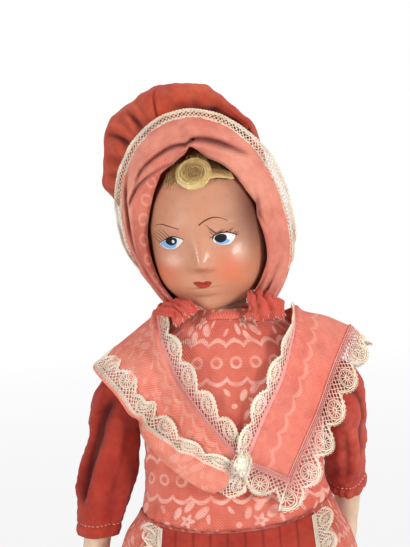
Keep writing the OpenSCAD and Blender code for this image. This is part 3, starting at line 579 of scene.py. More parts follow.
def make_shoe(side, sign):
    angle = round_angles(96)
    heading = np.stack([np.cos(angle), np.sin(angle)], -1)
    reach = np.maximum(HEEL_HALF + 7.4 * heading[:, 1], TOE_HALF - 17.5 * heading[:, 1])
    for _ in range(3):
        reach = (np.roll(reach, 1) + reach + np.roll(reach, -1)) / 3
    edge = heading * np.minimum(reach, 28.6)[:, None]
    half = mix(HEEL_HALF, TOE_HALF, ease(-edge[:, 1] / 18))
    edge[:, 0] = np.clip(edge[:, 0], -half, half)
    rings = []
    opening = heading * 10.1
    for t in np.linspace(0, 1, 18):
        draw = 1 - np.cos(t * np.pi / 2)
        flat = mix(edge, opening, draw)
        rise = 2.7 + 12.0 * np.sin(t * np.pi / 2) ** 0.9 * np.ones(len(angle))
        rise -= 2.5 * np.sin(t * np.pi) * ease(-flat[:, 1] / 20)
        rings.append(np.column_stack([flat, rise]))
    for turn in np.linspace(0, np.pi, 8)[1:]:
        rings.append(np.column_stack([heading * (9.6 + 0.5 * np.cos(turn)),
                                      np.full(len(angle), SHOE_TOP + 0.7 * np.sin(turn))]))
    rings.append(np.column_stack([heading * 9.0, np.full(len(angle), 9.0)]))
    grid = np.array(rings)[::-1]
    grid[..., 0] += sign * LEG_APART
    grid += 0.12 * swell(grid, 6, 11 + sign)[..., None]
    shoe = cloth_piece("felt_shoe_" + side, black_felt, grid, wrap=True)
    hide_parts("shoe_" + side)
    band = np.stack([np.array([sign * LEG_APART + (10.7 + k * 0.5) * np.cos(angle),
                               -0.5 + (10.9 + k * 0.5) * np.sin(angle),
                               STRAP_LEVEL + h - 1.5 * np.cos(angle - np.pi / 2) + 0 * angle]).T
                     for k, h in ((0, 1.5), (0.8, 1.9), (1.4, 1.4), (1.5, 0), (1.4, -1.4), (0.8, -1.9),
                                  (0, -1.5), (-0.2, 0), (0, 1.5))])
    strap = cloth_piece("shoe_strap_" + side, black_felt, band, wrap=True)
    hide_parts("strap_" + side)
    for piece in (shoe, strap):
        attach(piece, "leg_" + side)
    lat, lon = np.linspace(0, np.pi, 12)[:, None], round_angles(16)[None, :]
    bead = np.stack([sign * (LEG_APART + 11.9) + 0.9 * np.cos(lat) + 0 * lon,
                     -2.5 + 1.5 * np.sin(lat) * np.cos(lon),
                     STRAP_LEVEL + 1.5 * np.sin(lat) * np.sin(lon)], -1)
    button = cloth_piece("strap_bead_" + side, bead_glass, bead, wrap=True, flip=True)
    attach(button, "leg_" + side)


for side, sign in SIDES:
    make_shoe(side, sign)

# Petticoat
# A plain bleached cotton underskirt, gathered a little at the waist, that keeps the skirt's shape.
# Its hem is turned up once and run round with a line of stitches.
white_cotton = cotton("white_cotton", colour(214, 200, 182), colour(238, 230, 218), pitch=0.7, relief=0.14)

WAIST, SKIRT_LONG = 213.7, 155.7


def waist_shift(angle, below):
    """How far the waist seam is dragged up at the sides and down in front, fading below the waist."""
    front = np.clip(-np.sin(angle), 0, 1) ** 2
    return (4 * np.cos(angle) ** 2 - 4 * front + 2.5 * np.cos(angle)) * np.exp(-(below / 26) ** 2)


share, angle = np.linspace(0.004, 0.9615, 80)[:, None], round_angles(240)[None, :]
flare = np.mean([np.interp(share + s, [0, 0.17, 0.3, 1], [0, 0.04, 0.14, 1]) for s in (-0.04, 0, 0.04)],
                axis=0)
tuck = (0.25 + 0.5 * share) * np.sin(22 * angle + 1.5 * np.sin(3 * angle)) - 1.3 * np.clip(8 * share, 0, 1)
x, y = oval(mix(40.0, 76.3, flare) + tuck, mix(27.5, 73.3, flare) + tuck, angle, mix(2.3, 2, flare))
grid = np.stack([x, y, 213.4 - SKIRT_LONG * share + 0.6 * waist_shift(angle, SKIRT_LONG * share)], -1)
hem_stitch = 0.3 * np.exp(-((share - 0.91) * SKIRT_LONG / 0.5) ** 2)
grid[..., :2] *= (1 - hem_stitch / 70)[..., None]
petticoat = cloth_piece("petticoat_cloth", white_cotton, grid, wrap=True)
thicken(petticoat, 0.5)
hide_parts("petticoat")
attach(petticoat, "torso")

# Skirt
# A long rectangle of printed cotton twill, gathered into the waist seam and falling in soft folds to
# a narrow hem. Its print is rows of rings between scalloped lines, with small sprays of flowers.
printing, enter, leave = effect("dress_print", [("Place", "Vector", None)],
                                [("Lines", "Float"), ("Rings", "Float"), ("Sprays", "Float")])
split = printing.nodes.new("ShaderNodeSeparateXYZ")
shaken = printing.nodes.new("ShaderNodeTexNoise")
shaken.inputs["Scale"].default_value = 0.35
printing.links.new(enter.outputs["Place"], shaken.inputs["Vector"])
printing.links.new(enter.outputs["Place"], split.inputs[0])
shake = (Field(printing, shaken.outputs["Fac"]) - 0.5) * 0.9
u = Field(printing, split.outputs["X"]) + shake
v = Field(printing, split.outputs["Y"]) + shake
RING_STEP, ROW_STEP, SPRAY_STEP = 8.4, 51.7, 29.0
row = v.repeat(ROW_STEP)
rise = abs((u * (math.pi / RING_STEP)).sin()).math("POWER", 0.75) * 2.6 + 7.0
ring = abs(u.repeat(RING_STEP).length(row) - 2.1).below(0.62, 0.4)
scallop = abs(abs(row) - rise).below(0.95, 0.5)
sprays = []
spray_u, spray_v = (u + 26.0).repeat(SPRAY_STEP), abs(row) - 17.5
for cx, cy, size in ((0, 0, 1.0), (11.5, 5.5, 0.75)):
    fu, fv = spray_u - cx, spray_v - cy
    petals = fu.length(fv) - (fv.math("ARCTAN2", fu) * 5).math("COSINE") * (0.85 * size)
    sprays.append(petals.below(2.3 * size, 0.5) * (fu.length(fv).below(0.75 * size, 0.4) * -0.7 + 1))
# Leaves of a spray: place across and up, tilt, half length and half width
LEAVES = ((5.6, -3.6, 2.4, 3.4, 1.7), (-4.6, -3.2, 1.9, 2.6, 1.4), (-3.6, 5.4, 2.0, 2.4, 1.0),
          (4.4, 4.6, 1.0, 2.2, 0.9), (-8.6, 1.6, 0.2, 1.2, 1.2), (8.4, -0.8, 1.4, 2.0, 0.8),
          (0.2, -6.4, 2.2, 3.0, 1.5), (-11.5, -4.5, 0.9, 2.0, 0.9))
for cx, cy, tilt, long, wide in LEAVES:
    fu, fv = spray_u - cx, spray_v - cy
    along_leaf = (fu * math.cos(tilt) + fv * math.sin(tilt)) * (1 / long)
    over_leaf = (fv * math.cos(tilt) - fu * math.sin(tilt)) * (1 / wide)
    sprays.append(along_leaf.length(over_leaf).below(1.0, 0.35))
motif = functools.reduce(Field.most, sprays)
for label, field in (("Lines", scallop), ("Rings", ring), ("Sprays", motif)):
    printing.links.new(field.socket, leave.inputs[label])


def dress_print(pale, lines, rings, sprays):
    """A pattern in the pale colour, with how strongly the scallops, the rings and the sprays still show."""
    def pattern(tree, lay, place, tone):
        made = add_group(tree, printing, Place=lay)
        shown = Field(tree, made.outputs["Lines"]) * lines
        for label, strength in (("Rings", rings), ("Sprays", sprays)):
            shown = shown.most(Field(tree, made.outputs[label]) * strength)
        return blend_colour(tree, shown * noise(tree, place, 0.007, 4.0).below(0.64, 0.5), tone, pale)
    return pattern


print_cotton = cotton("print_cotton", colour(216, 98, 80), colour(234, 132, 112), fade=0.42, pitch=1.25,
                      slant=1.0, relief=0.24, pattern=dress_print(colour(250, 200, 184), 0.75, 0.65, 0.75))


def skirt_half(share, side, out):
    """Half width or half depth of the skirt, by the share of the way down."""
    wide = np.mean([np.interp(share + s, [0, 0.1, 0.26, 0.6, 1], [0, 0.28, 0.44, 0.74, 1])
                    for s in (-0.03, 0, 0.03)], axis=0)
    return mix((40.9, 28.4)[side], (77.4, 74.4)[side], wide) + out, mix(2.3, 2.0, wide)


def fold_reach(share):
    return 3.4 * ease(np.minimum(1, 0.12 + share))


share, angle = np.linspace(0.0, 1.0, 96)[:, None], round_angles(350)[None, :]
drift = (angle + 0.05 * np.sin(3 * angle + 1) + 0.03 * np.sin(7 * angle + 2)
         + 0.02 * np.sin(5 * share + 4 * angle))
fold = fold_reach(share) * (0.5 + 0.5 * np.cos(14 * drift)) ** 1.2
gather = 0.9 * np.exp(-share / 0.09) * (0.5 + 0.5 * np.cos(62 * drift + 2 * np.sin(5 * angle)))
fold += 1.1 - gather
fold += 3.0 * np.exp(-((share - 0.05) / 0.035) ** 2) * np.exp(-((angle - np.pi - 0.3) / 0.3) ** 2)
half_x, power = skirt_half(share, 0, fold)
x, y = oval(half_x, skirt_half(share, 1, fold)[0], angle, power)
grid = np.stack([x, y, WAIST - SKIRT_LONG * share + waist_shift(angle, SKIRT_LONG * share)], -1)
hem = 0.5 * np.exp(-((share - 0.955) * SKIRT_LONG / 0.6) ** 2)
grid[..., :2] *= (1 - hem / 76)[..., None]
grid[..., :2] += 0.25 * swell(grid, 14, 21)[..., None]
flat = tube_map(grid)
flat[..., 0] *= 1.25
skirt = cloth_piece("skirt_cloth", print_cotton, grid, flat, wrap=True)
thicken(skirt, 0.6)
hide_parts("skirt")
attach(skirt, "torso")

# Apron
# Brick red cotton laid in knife pleats that are caught in the waist seam over the front of the skirt,
# with a strip of cream torchon lace sewn down both sides.
red_cotton = cotton("red_cotton", colour(156, 34, 22), colour(192, 68, 48), fade=0.42, pitch=0.7, relief=0.14)


def over_skirt(share, x, out):
    """Points over the front of the skirt, by the share of the way down and the distance from the middle."""
    lift = fold_reach(share) + out
    half_x, power = skirt_half(share, 0, lift)
    part = np.clip(x / half_x, -1, 1)
    angle = -np.pi / 2 + np.arcsin(np.sign(part) * np.abs(part) ** (power / 2))
    px, py = oval(half_x, skirt_half(share, 1, lift)[0], angle, power)
    return np.stack([px, py, WAIST - SKIRT_LONG * share + waist_shift(angle, SKIRT_LONG * share)], -1)


def sheet_map(grid):
    """The flat map of a sheet: the way across and the way down, in millimetres."""
    across = np.cumsum(np.linalg.norm(np.diff(grid, axis=1), axis=-1), 1)
    down = np.cumsum(np.linalg.norm(np.diff(grid, axis=0), axis=-1), 0)
    return np.stack([np.pad(across, ((0, 0), (1, 0))), -np.pad(down, ((1, 0), (0, 0)))], -1)


PLEATS, APRON_LONG = 9, 118


def apron_half(share):
    return 34 + 14 * share


down, side_way = np.linspace(0.004, 1, 90)[:, None], np.linspace(0, 1, PLEATS * 18 + 1)[None, :]
share = down * APRON_LONG / SKIRT_LONG
step = side_way * PLEATS + 0.05 * np.sin(17 * side_way) * down
step = step - np.floor(step - 1e-9)
pleat = np.where(step < 0.82, ease(step / 0.82) * 0.75 + 0.25 * step / 0.82, 1 - ease((step - 0.82) / 0.18))
depth = 2.2 * ease(np.minimum(1, 0.2 + 2 * share)) + 0.5 * np.exp(-down / 0.05)
wide = apron_half(share) * (2 * side_way - 1)
apron_cloth = over_skirt(share, wide, 2.6 + depth * pleat + 0.15 * np.sin(30 * down + 9 * side_way))
apron = cloth_piece("apron_cloth", red_cotton, apron_cloth, sheet_map(apron_cloth))
# Painted shade in the back of each pleat, strongest at the waist
mark(apron, "painted_shade", 0.6 * np.exp(-((step - 0.92) / 0.08) ** 2) * np.exp(-down / 0.3))
thicken(apron, 0.6)
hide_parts("apron")
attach(apron, "torso")


# Lace threads of one repeat, as way along and way across in millimetres, their thickness and their lift: a
# straight footing, a net ground, a spoked wheel and a scalloped edge with picots
LACE_REPEAT, LACE_WIDE = 15.0, 12.2


def torchon_repeat():
    long, wheel = LACE_REPEAT, np.array([7.5, 7.4])
    strands = []
    along = np.linspace(0, long, 17)
    for rail in (0.25, 1.0, 1.75):
        strands.append((np.stack([along, np.full(17, rail)], -1), 0.34, 0.0))
    zig = np.arange(0, long + 0.1, 0.75)
    strands.append((np.stack([zig, np.where(np.arange(len(zig)) % 2, 1.75, 0.25)], -1), 0.24, 0.12))

    def edge(s):
        return 6.0 + 5.7 * np.abs(np.sin(np.pi * s / long)) ** 0.7

    for way in (1, -1):
        for start in np.arange(-8, 24, 2.1):
            t = np.linspace(1.75, 11.6, 22)
            line = np.stack([start + way * (t - 1.75) * 0.9, t], -1)
            keep = ((np.linalg.norm(line - wheel, axis=1) > 3.9) & (t < edge(line[:, 0]) - 0.2)
                    & (line[:, 0] > -0.4) & (line[:, 0] < long + 0.4))
            ends = np.flatnonzero(np.diff(np.concatenate([[0], keep.astype(int), [0]])))
            for a, b in zip(ends[::2], ends[1::2]):
                if b - a > 1:
                    strands.append((line[a:b], 0.27, 0.1 * way))
    turn = np.linspace(0, 2 * np.pi, 25)
    circle = np.stack([np.cos(turn), np.sin(turn)], -1)
    strands += [(wheel + circle * 3.75, 0.42, 0.0), (wheel + circle * 3.0, 0.26, 0.0),
                (wheel + circle[::2] * 0.7, 0.34, 0.1)]
    for k in range(12):
        way = 2 * np.pi * k / 12
        strands.append((wheel + np.outer([0.6, 1.8, 3.1], [np.cos(way), np.sin(way)]), 0.28, 0.05))
    s = np.linspace(0, long, 27)
    strands += [(np.stack([s, edge(s)], -1), 0.4, 0.0), (np.stack([s, edge(s) - 0.8], -1), 0.28, 0.0)]
    for k in range(11):
        c = long * (k + 0.5) / 11
        loop = np.stack([c + 0.55 * np.cos(turn[::4]), edge(c) + 0.35 + 0.5 * np.sin(turn[::4])], -1)
        strands.append((loop, 0.22, 0.0))
    return strands


TORCHON = torchon_repeat()


def unit(v):
    return v / (np.linalg.norm(v, axis=-1, keepdims=True) + 1e-9)


def thread_piece(name, finish, lines):
    """Threads as fine three-sided tubes, closed at their ends: a path, a facing, a thickness and a shade."""
    points, quads, ends, shades, base = [], [], [], [], 0
    for path, facing, radius, *shade in lines:
        shades.append(np.repeat(np.broadcast_to(shade[0] if shade else 1.0, len(path)), 3))
        run = unit(np.gradient(path, axis=0))
        side = unit(np.cross(run, facing))
        top = np.cross(side, run)
        count = len(path)
        ring = [path + radius * (np.cos(t) * top + np.sin(t) * side) for t in (0, 2.0944, 4.1888)]
        points.append(np.stack(ring, 1).reshape(-1, 3))
        i = base + 3 * np.arange(count - 1)[:, None] + np.arange(3)[None, :]
        k = base + 3 * np.arange(count - 1)[:, None] + (np.arange(3)[None, :] + 1) % 3
        quads.append(np.stack([i, k, k + 3, i + 3], -1).reshape(-1, 4))
        last = base + 3 * (count - 1)
        ends.append([[base + 2, base + 1, base], [last, last + 1, last + 2]])
        base += 3 * count
    piece = make_piece(name, finish, np.concatenate(points), [np.concatenate(quads), np.concatenate(ends)])
    mark(piece, "strand", np.concatenate(shades))
    return piece


def way_along(path):
    return np.concatenate([[0], np.cumsum(np.linalg.norm(np.diff(path, axis=0), axis=1))])


def lace_strip(name, foot, tip, repeat=LACE_REPEAT, width=LACE_WIDE, ripple=0.5, seed=0, dye=0.0,
               threads=TORCHON):
    """Lace along a footing line, reaching to the tip line, rippled and dyed by the cloth it is on."""
    way = way_along(mix(foot, tip, 0.45))
    count = max(1, int(round(way[-1] / repeat)))
    scale_s, scale_t = way[-1] / (count * LACE_REPEAT), 1 / LACE_WIDE
    out = tip - foot
    facing = unit(np.cross(np.gradient(foot, axis=0), out))
    lines = []
    for k in range(count):
        for flat_line, radius, lift in threads:
            s = np.clip((flat_line[:, 0] + LACE_REPEAT * k) * scale_s, 0, way[-1])
            t = flat_line[:, 1] * scale_t
            at = [np.stack([np.interp(s, way, part[:, c]) for c in range(3)], -1)
                  for part in (foot, out, facing)]
            path = at[0] + at[1] * t[:, None]
            wave = ripple * t * swell(np.stack([s, t * 9, 0 * s], -1), 11, seed + 50) + lift * 0.8
            path = path + at[2] * wave[:, None]
            lines.append((path, at[2], radius * (width / LACE_WIDE) ** 0.5, 1 - dye * (1 - ease(t / 0.75))))
    piece = thread_piece(name, lace_thread, lines)
    return piece


lace_thread, tree, shader, place = new_material("lace_thread")
twist = noise(tree, place, 0.0009, 3.0)
aged = add_group(tree, ageing, Place=place, Colour=colour(254, 232, 202), Faded=colour(255, 250, 236),
                 Fade=0.6)
dyed = blend_colour(tree, marked(tree, "strand"), colour(240, 146, 142), aged.outputs[0])
tone = blend_colour(tree, twist * 0.15, dyed, colour(214, 172, 138))
feed(shader, Base_Color=tone, Roughness=0.85, Sheen_Weight=0.2)
bump_normal(tree, shader, twist, 0.0001)

for side, sign in SIDES:
    down = np.linspace(0.01, 1, 60)
    share = down * APRON_LONG / SKIRT_LONG
    edge = sign * apron_half(share)
    foot = over_skirt(share, edge - sign * 1.0, 3.4)
    tip = over_skirt(share, edge + sign * 8.6, 2.4)
    lace = lace_strip("apron_torchon_" + side, foot, tip, repeat=11.5, width=9.6, ripple=0.35, seed=sign + 3)
    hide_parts("apron_lace_" + side)
    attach(lace, "torso")

# Bodice
# The top of the dress, cut from the same printed twill and fitted to the body, with side seams and a
# bottom edge that puffs a little over the waist seam. A narrow band finishes the neck.
share, angle = np.linspace(0, 1, 100)[:, None], round_angles(180)[None, :]
low = 213.2 + waist_shift(angle, 0)
level = mix(306.0, low, share)
front = np.clip(-np.sin(angle), 0, 1)
above = level - low
puff = (1.8 + 2.0 * front) * np.exp(-(above / 6.5) ** 2) - 0.9 * np.exp(-(above / 1.2) ** 2)
seam = 0.6 * np.exp(-(np.sin(angle) * 38 / 0.8) ** 2) * (np.abs(np.cos(angle)) > 0.5)
grid = on_body(angle, level, 1.3 + puff - seam)
pull = (0.35 * swell(grid * np.array([1, 1, 2.2]), 17, 31) + 0.5 * np.exp(-above / 9)
        * np.cos(34 * angle + 3 * np.sin(3 * angle)))
outward = np.stack([np.cos(angle), np.sin(angle), 0 * angle], -1)
grid += (np.minimum(pull, 0.4))[..., None] * outward
flat = tube_map(grid)
ROW_LEVEL, ROW_SHIFT = 257.15, 2.2
flat[:, :-1, 1] = grid[..., 2] - ROW_LEVEL
flat[:, -1, 1] = grid[:, 0, 2] - ROW_LEVEL
flat[..., 0] -= ROW_SHIFT
bodice = cloth_piece("bodice_cloth", print_cotton, grid, flat, wrap=True)
thicken(bodice, 0.6)
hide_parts("bodice")
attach(bodice, "torso")

angle = round_angles(120)[None, :]
turn = np.linspace(0, 2 * np.pi, 15)[:, None]
lean = np.cos(turn)
ring = 18.4 - 0.9 * lean + 0.75 * np.sin(turn) + 0.25 * np.cos(23 * angle + 3 * np.sin(5 * angle))
grid = np.stack([ring * np.cos(angle), ring * np.sin(angle), 303.2 + 1.5 * lean + 0 * angle], -1)
grid += 0.25 * swell(grid, 6, 33)[..., None]
flat = tube_map(grid)
flat[..., 1] = 32.4 + 0.4 * flat[..., 1]
collar = cloth_piece("collar_band", print_cotton, grid, flat, wrap=True, flip=True)
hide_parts("collar")
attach(collar, "torso")

# Arms
# Stuffed muslin arms with a seam along both sides and mitten hands, whose thumbs stick forward and
# whose fingers are marked with lines of stitches. Each turns on its disc joint at the shoulder.
ARM_LONG, ARM_HALF, ARM_DEEP = 102, 7.6, 9.4
# Sections of the arm: share of the way down, and shares of its half width and half depth
ARM = np.array([
    [0.03, 0.3, 0.3], [0.015, 0.62, 0.62], [-0.02, 0.84, 0.86], [-0.07, 0.96, 0.97], [-0.15, 1, 1],
    [-0.34, 1, 1], [-0.56, 0.92, 0.92], [-0.74, 0.74, 0.72], [-0.8, 0.66, 0.74], [-0.88, 0.6, 0.86],
    [-0.95, 0.5, 0.7], [-1, 0.2, 0.34]])
SHOULDER_X, SHOULDER_Z, ARMPIT = 53, 268, 16
# For each side: the sign of its x, the swing back and the lean out in degrees, and the sleeve's half width
SLEEVES = {"left": (1, 33, 1, 9.8), "right": (-1, 3, 10, 12.4)}


def hang_arm(local, sign, swing):
    """Points from the arm's own place to the doll's, swung back from the shoulder."""
    c, s = math.cos(math.radians(swing)), math.sin(math.radians(swing))
    x, y, z = local[..., 0], local[..., 1], local[..., 2]
    return np.stack([sign * (SHOULDER_X + x), y * c - z * s, SHOULDER_Z + y * s + z * c], -1)


def arm_middle(z, splay, rx):
    return -10.7 + rx + math.tan(math.radians(splay)) * np.maximum(0, -z - ARMPIT)


def arm_share(way, side):
    return np.mean([np.interp(way + s, ARM[::-1, 0], ARM[::-1, side]) for s in (-0.012, 0, 0.012)], axis=0)


for side, (sign, swing, splay, rx) in SLEEVES.items():
    angle = round_angles(56)[None, :]
    way = np.concatenate([np.linspace(0.03, -0.7, 46), np.linspace(-0.71, -1, 44)])[:, None]
    wide, deep = ARM_HALF * arm_share(way, 1), ARM_DEEP * arm_share(way, 2)
    thumb = 4.2 * np.exp(-((way + 0.845) / 0.032) ** 2) * np.exp(-((angle - 1.5 * np.pi) / 0.42) ** 2)
    facing = np.abs(np.cos(angle)) ** 0.5
    fingers = (sum(np.exp(-((deep * np.sin(angle) - f) / 0.45) ** 2) for f in (-2.4, 0.2, 2.8)) * 0.7 * facing
               * ease((-way - 0.9) / 0.03))
    seam = 0.4 * np.exp(-((angle - np.pi / 2) * 8 / 0.8) ** 2)
    x = (wide - fingers) * np.cos(angle)
    y = (deep - seam) * np.sin(angle) - thumb
    down = ARM_LONG * way
    local = np.stack([arm_middle(down, splay, rx) + x, y, down + 0 * angle + 0.5 * thumb], -1)
    local += 0.15 * swell(local, 10, 41 + sign)[..., None]
    grid = hang_arm(local, sign, swing)
    arm = cloth_piece("stuffed_arm_" + side, muslin, grid, wrap=True, closed=True, flip=sign < 0)
    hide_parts("arm_" + side)
    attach(arm, "arm_" + side)

# Sleeves
# Straight red cotton sleeves, set over the shoulder from a round armhole and falling loose round the
# arm in long creases, with painted shade along them; the left one is lighter, partly from fading and partly
# as painted light on the side towards the stronger lamp. Each hem is turned up and held by pale running
# stitches.
CAP_RADIUS, CAP_WAY, SLEEVE_DEEP, SLEEVE_HEM = 15, 18, 13, 5.2
# The long folds of each sleeve: heights and angles of the line, its top and low end, depth and width
DEEP_FOLDS = {"right": [([[-14, -6, 0, 6, 28, 40], [282, 290, 298, 306, 320, 324]], -16, 35, 3.4, 2.5),
                        ([[0, 46], [262, 238]], 14, 50, 0.7, 2.4), ([[0, 46], [345, 352]], -6, 40, 0.8, 2.2)],
              "left": [([[-16, 0, 24], [322, 318, 312]], -22, 22, 1.7, 1.7),
                       ([[0, 46], [226, 240]], 0, 34, 0.5, 2.6)]}
# A lighter copy of the red cotton for the left sleeve: partly more faded, partly painted light on the side
# towards the stronger lamp
faded_and_lit_cotton = cotton("faded_and_lit_cotton", colour(174, 52, 38), colour(212, 92, 72), fade=0.42, pitch=0.7, relief=0.14)
for side, (sign, swing, splay, rx) in SLEEVES.items():
    angle = round_angles(128)
    rings, places = [], []
    for t in np.radians(np.linspace(0, 90, 26))[:-1]:
        s = ease(t / (np.pi / 2))
        r, d = mix(CAP_RADIUS, rx, s), mix(CAP_RADIUS, SLEEVE_DEEP, s)
        reach = 1 + r + r * np.cos(angle)
        rings.append(np.stack([-11.7 + reach * np.sin(t), d * np.sin(angle),
                               -ARMPIT + reach * np.cos(t)], -1))
        places.append(-CAP_WAY * (1 - t / (np.pi / 2)))
    long = 41.8 if sign > 0 else 47.2
    for z in np.linspace(0, long, 62):
        u = z / long
        wave = 0.3 * ease(u) * np.cos(5 * angle)
        spread = mix(rx, 9.4, u) + wave + (1.7 if sign < 0 else 0.4) * math.sin(np.pi * u)
        rings.append(np.stack([-10.7 + rx + math.tan(math.radians(splay)) * z + spread * np.cos(angle),
                               (SLEEVE_DEEP + wave) * np.sin(angle), np.full(128, -ARMPIT - z)], -1))
        places.append(z)
    local, z = np.array(rings), np.array(places)[:, None]
    dice = np.random.default_rng(60 + sign)
    push, painted_shade = np.zeros(local.shape[:2]), np.zeros(local.shape[:2])
    folds = [(np.full_like(z, start) + dice.uniform(-0.2, 0.2)
              + 0.22 * np.sin(z / dice.uniform(14, 24) + dice.uniform(0, 6)),
              dice.uniform(-14, 10), dice.uniform(24, 40), dice.uniform(0.4, 1.1), dice.uniform(1.2, 2.2))
             for start in np.linspace(0.4, 2 * np.pi - 1.9, 6)]
    folds += DEEP_FOLDS[side]
    for line, top, low, strength, wide in folds:
        if isinstance(line, list):
            line = np.radians(np.interp(z, *line))
        off = (angle[None, :] - line + np.pi) % (2 * np.pi) - np.pi
        held = ease((z - top) / 10) * ease((low - z) / 8)
        push += strength * held * crease(off * 12, wide)
        # Painted shade along the bottom of each fold
        painted_shade += (0.5 if sign > 0 else 0.34) * strength * held * np.exp(-(off * 12 / (1.05 * wide)) ** 2)
    push += 0.5 * np.exp(-((z + CAP_WAY) / 7) ** 2) * np.cos(17 * angle[None, :])
    push += 0.6 * swell(local * np.array([1, 1, 0.7]), 13, 63 + sign) + 0.2 * swell(local, 5, 65 + sign)
    push += 0.45 * ease((z - long + 4.8) / 1.5) - 0.5 * np.exp(-((z - long + SLEEVE_HEM) / 0.5) ** 2)
    push += ((0.35 if sign > 0 else 0.15) * np.cos(13 * angle[None, :] + 2 * np.sin(3 * angle))
             * ease((z - 34) / 6))
    run, turn = np.gradient(local, axis=0), np.roll(local, -1, 1) - np.roll(local, 1, 1)
    facing = unit(np.cross(run, turn))
    outside = ((1 + np.cos(angle[None, :])) / 2) ** 2
    slim = outside * (1.4 if sign > 0 else 2.6 * np.exp(-((z - 2) / 11) ** 2))
    inner_side = ((1 - np.cos(angle[None, :])) / 2) ** 2
    slim = slim - (1.0 if sign > 0 else 1.4) * inner_side * np.exp(-((z - 22) / 14) ** 2)
    local = local + (np.clip(push, -3.4, 1.1) - slim)[..., None] * facing
    # Where a fold would reach the arm, the cloth rests on it
    middle = arm_middle(local[..., 2], splay, rx)
    inside = np.hypot((local[..., 0] - middle) / (ARM_HALF + 0.9), local[..., 1] / (ARM_DEEP + 0.9))
    rests = np.where(local[..., 2] < -3, np.maximum(1, 1 / np.maximum(inside, 0.1)), 1)
    local[..., 0] = middle + (local[..., 0] - middle) * rests
    local[..., 1] *= rests
    grid = hang_arm(local, sign, swing)
    sleeve = cloth_piece("sleeve_cloth_" + side, faded_and_lit_cotton if sign > 0 else red_cotton, grid, wrap=True,
                         flip=sign < 0)
    mark(sleeve, "painted_shade", np.clip(painted_shade, 0, 0.92))
    thicken(sleeve, 0.5)
    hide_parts("sleeve_" + side)
    stitch_row = np.argmin(np.abs(z[:, 0] - long + SLEEVE_HEM))
    hem_line, hem_out = local[stitch_row] + 0.25 * facing[stitch_row], facing[stitch_row]
    stitches = []
    for k in range(0, 126, 4):
        path, out = hem_line[k:k + 3], hem_out[k:k + 3]
        bow = np.array([-0.25, 0.12, -0.25])[:, None]
        path = hang_arm(path + out * bow, sign, swing)
        turned = hang_arm(hem_line[k:k + 3] + out, sign, swing) - hang_arm(hem_line[k:k + 3], sign, swing)
        stitches.append((path, turned, 0.14))
    stitching = thread_piece("sleeve_stitches_" + side, lace_thread, stitches)
    for piece, slot in ((sleeve, "red_cotton"), (stitching, "lace")):
        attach(piece, "arm_" + side)
    "stuffed_arm_" + side


# Fichu
# A shaped kerchief of the printed twill in two halves, joined behind the neck, that lies over the
# shoulders and crosses in front, where its left half laps over the right. The edges are turned in.
def smooth_path(points, steps):
    """Points along a smooth curve through a list of points."""
    p = np.asarray(points, float)
    path = []
    for i in range(len(p) - 1):
        a, b, c, d = p[max(i - 1, 0)], p[i], p[i + 1], p[min(i + 2, len(p) - 1)]
        t = np.linspace(0, 1, steps, endpoint=False)[:, None]
        path.append(0.5 * (2 * b + (c - a) * t + (2 * a - 5 * b + 4 * c - d) * t ** 2
                           + (3 * b - a - 3 * c + d) * t ** 3))
    return np.concatenate(path + [p[-1:]])


BODICE_OUT = 1.5


def clear_of_body(points, lift):
    """Points moved out from the middle of the body where they would lie inside the bodice."""
    rx, ry = (body_half(points[..., 2], 1) + BODICE_OUT + lift,
              body_half(points[..., 2], 2) + BODICE_OUT + lift)
    reach = ((np.abs(points[..., 0]) / rx) ** BODY_POWER
             + (np.abs(points[..., 1]) / ry) ** BODY_POWER) ** (1 / BODY_POWER)
    moved = points.copy()
    moved[..., :2] /= np.minimum(reach, 1)[..., None]
    return moved


def over_body(degrees, z, lift):
    return on_body(math.radians(degrees), z, BODICE_OUT + lift)


def over_front(x, z, lift):
    """A point on the front of the bodice, by its place across and its height, lifted off it."""
    rx, ry = body_half(z, 1) + BODICE_OUT + lift, body_half(z, 2) + BODICE_OUT + lift
    return np.array([x, -ry * (1 - (abs(x) / rx) ** BODY_POWER) ** (1 / BODY_POWER), z])


def over_cap(x, degrees, lift):
    a = math.radians(degrees)
    return np.array([x, -(CAP_RADIUS + lift) * math.sin(a), SHOULDER_Z + (CAP_RADIUS + lift) * math.cos(a)])


def sheet_facing(grid):
    return unit(np.cross(np.gradient(grid, axis=0), np.gradient(grid, axis=1)))


def back_lines(lift):
    """The neck edge and the outer edge from the middle of the back to the shoulder."""
    return ([over_body(90, 296, lift + 3), over_body(62, 298, lift + 5)],
            [over_body(90, 230, lift + 2.5), over_body(52, 256, lift + 4), over_cap(50, -64, 4 + lift)])


neck_back, outer_back = back_lines(1.8)
LEFT_NECK = neck_back + [
    (27.5, 5, 302.5), (28, -5, 303), over_front(26.3, 293, 4.8), over_front(21.1, 276, 2.8),
    over_front(12.5, 258.5, 2.4), over_front(4.6, 241, 2.4)]
LEFT_OUTER = outer_back + [
    (55, 2, 293), (45.5, -16, 278.5), over_front(37.5, 259.5, 4.8), over_front(31, 246, 3.0),
    over_front(23.8, 231, 2.6)]
neck_back, outer_back = back_lines(0.3)
RIGHT_NECK = neck_back + [
    (27.5, 5, 302.5), (30.5, -5, 303), over_front(28.6, 289, 3.3), over_front(22.6, 275, 1.3),
    over_front(12, 258, 0.9), over_front(-1.0, 242.5, 0.9)]
RIGHT_OUTER = outer_back + [
    (60.5, 2, 279.5), (50, -18, 269.5), over_body(-25, 253.5, 3.3), over_front(22.5, 235, 1.5),
    over_front(5.5, 225, 1.1)]
STEPS, HALF_ROW = 18, 25.85
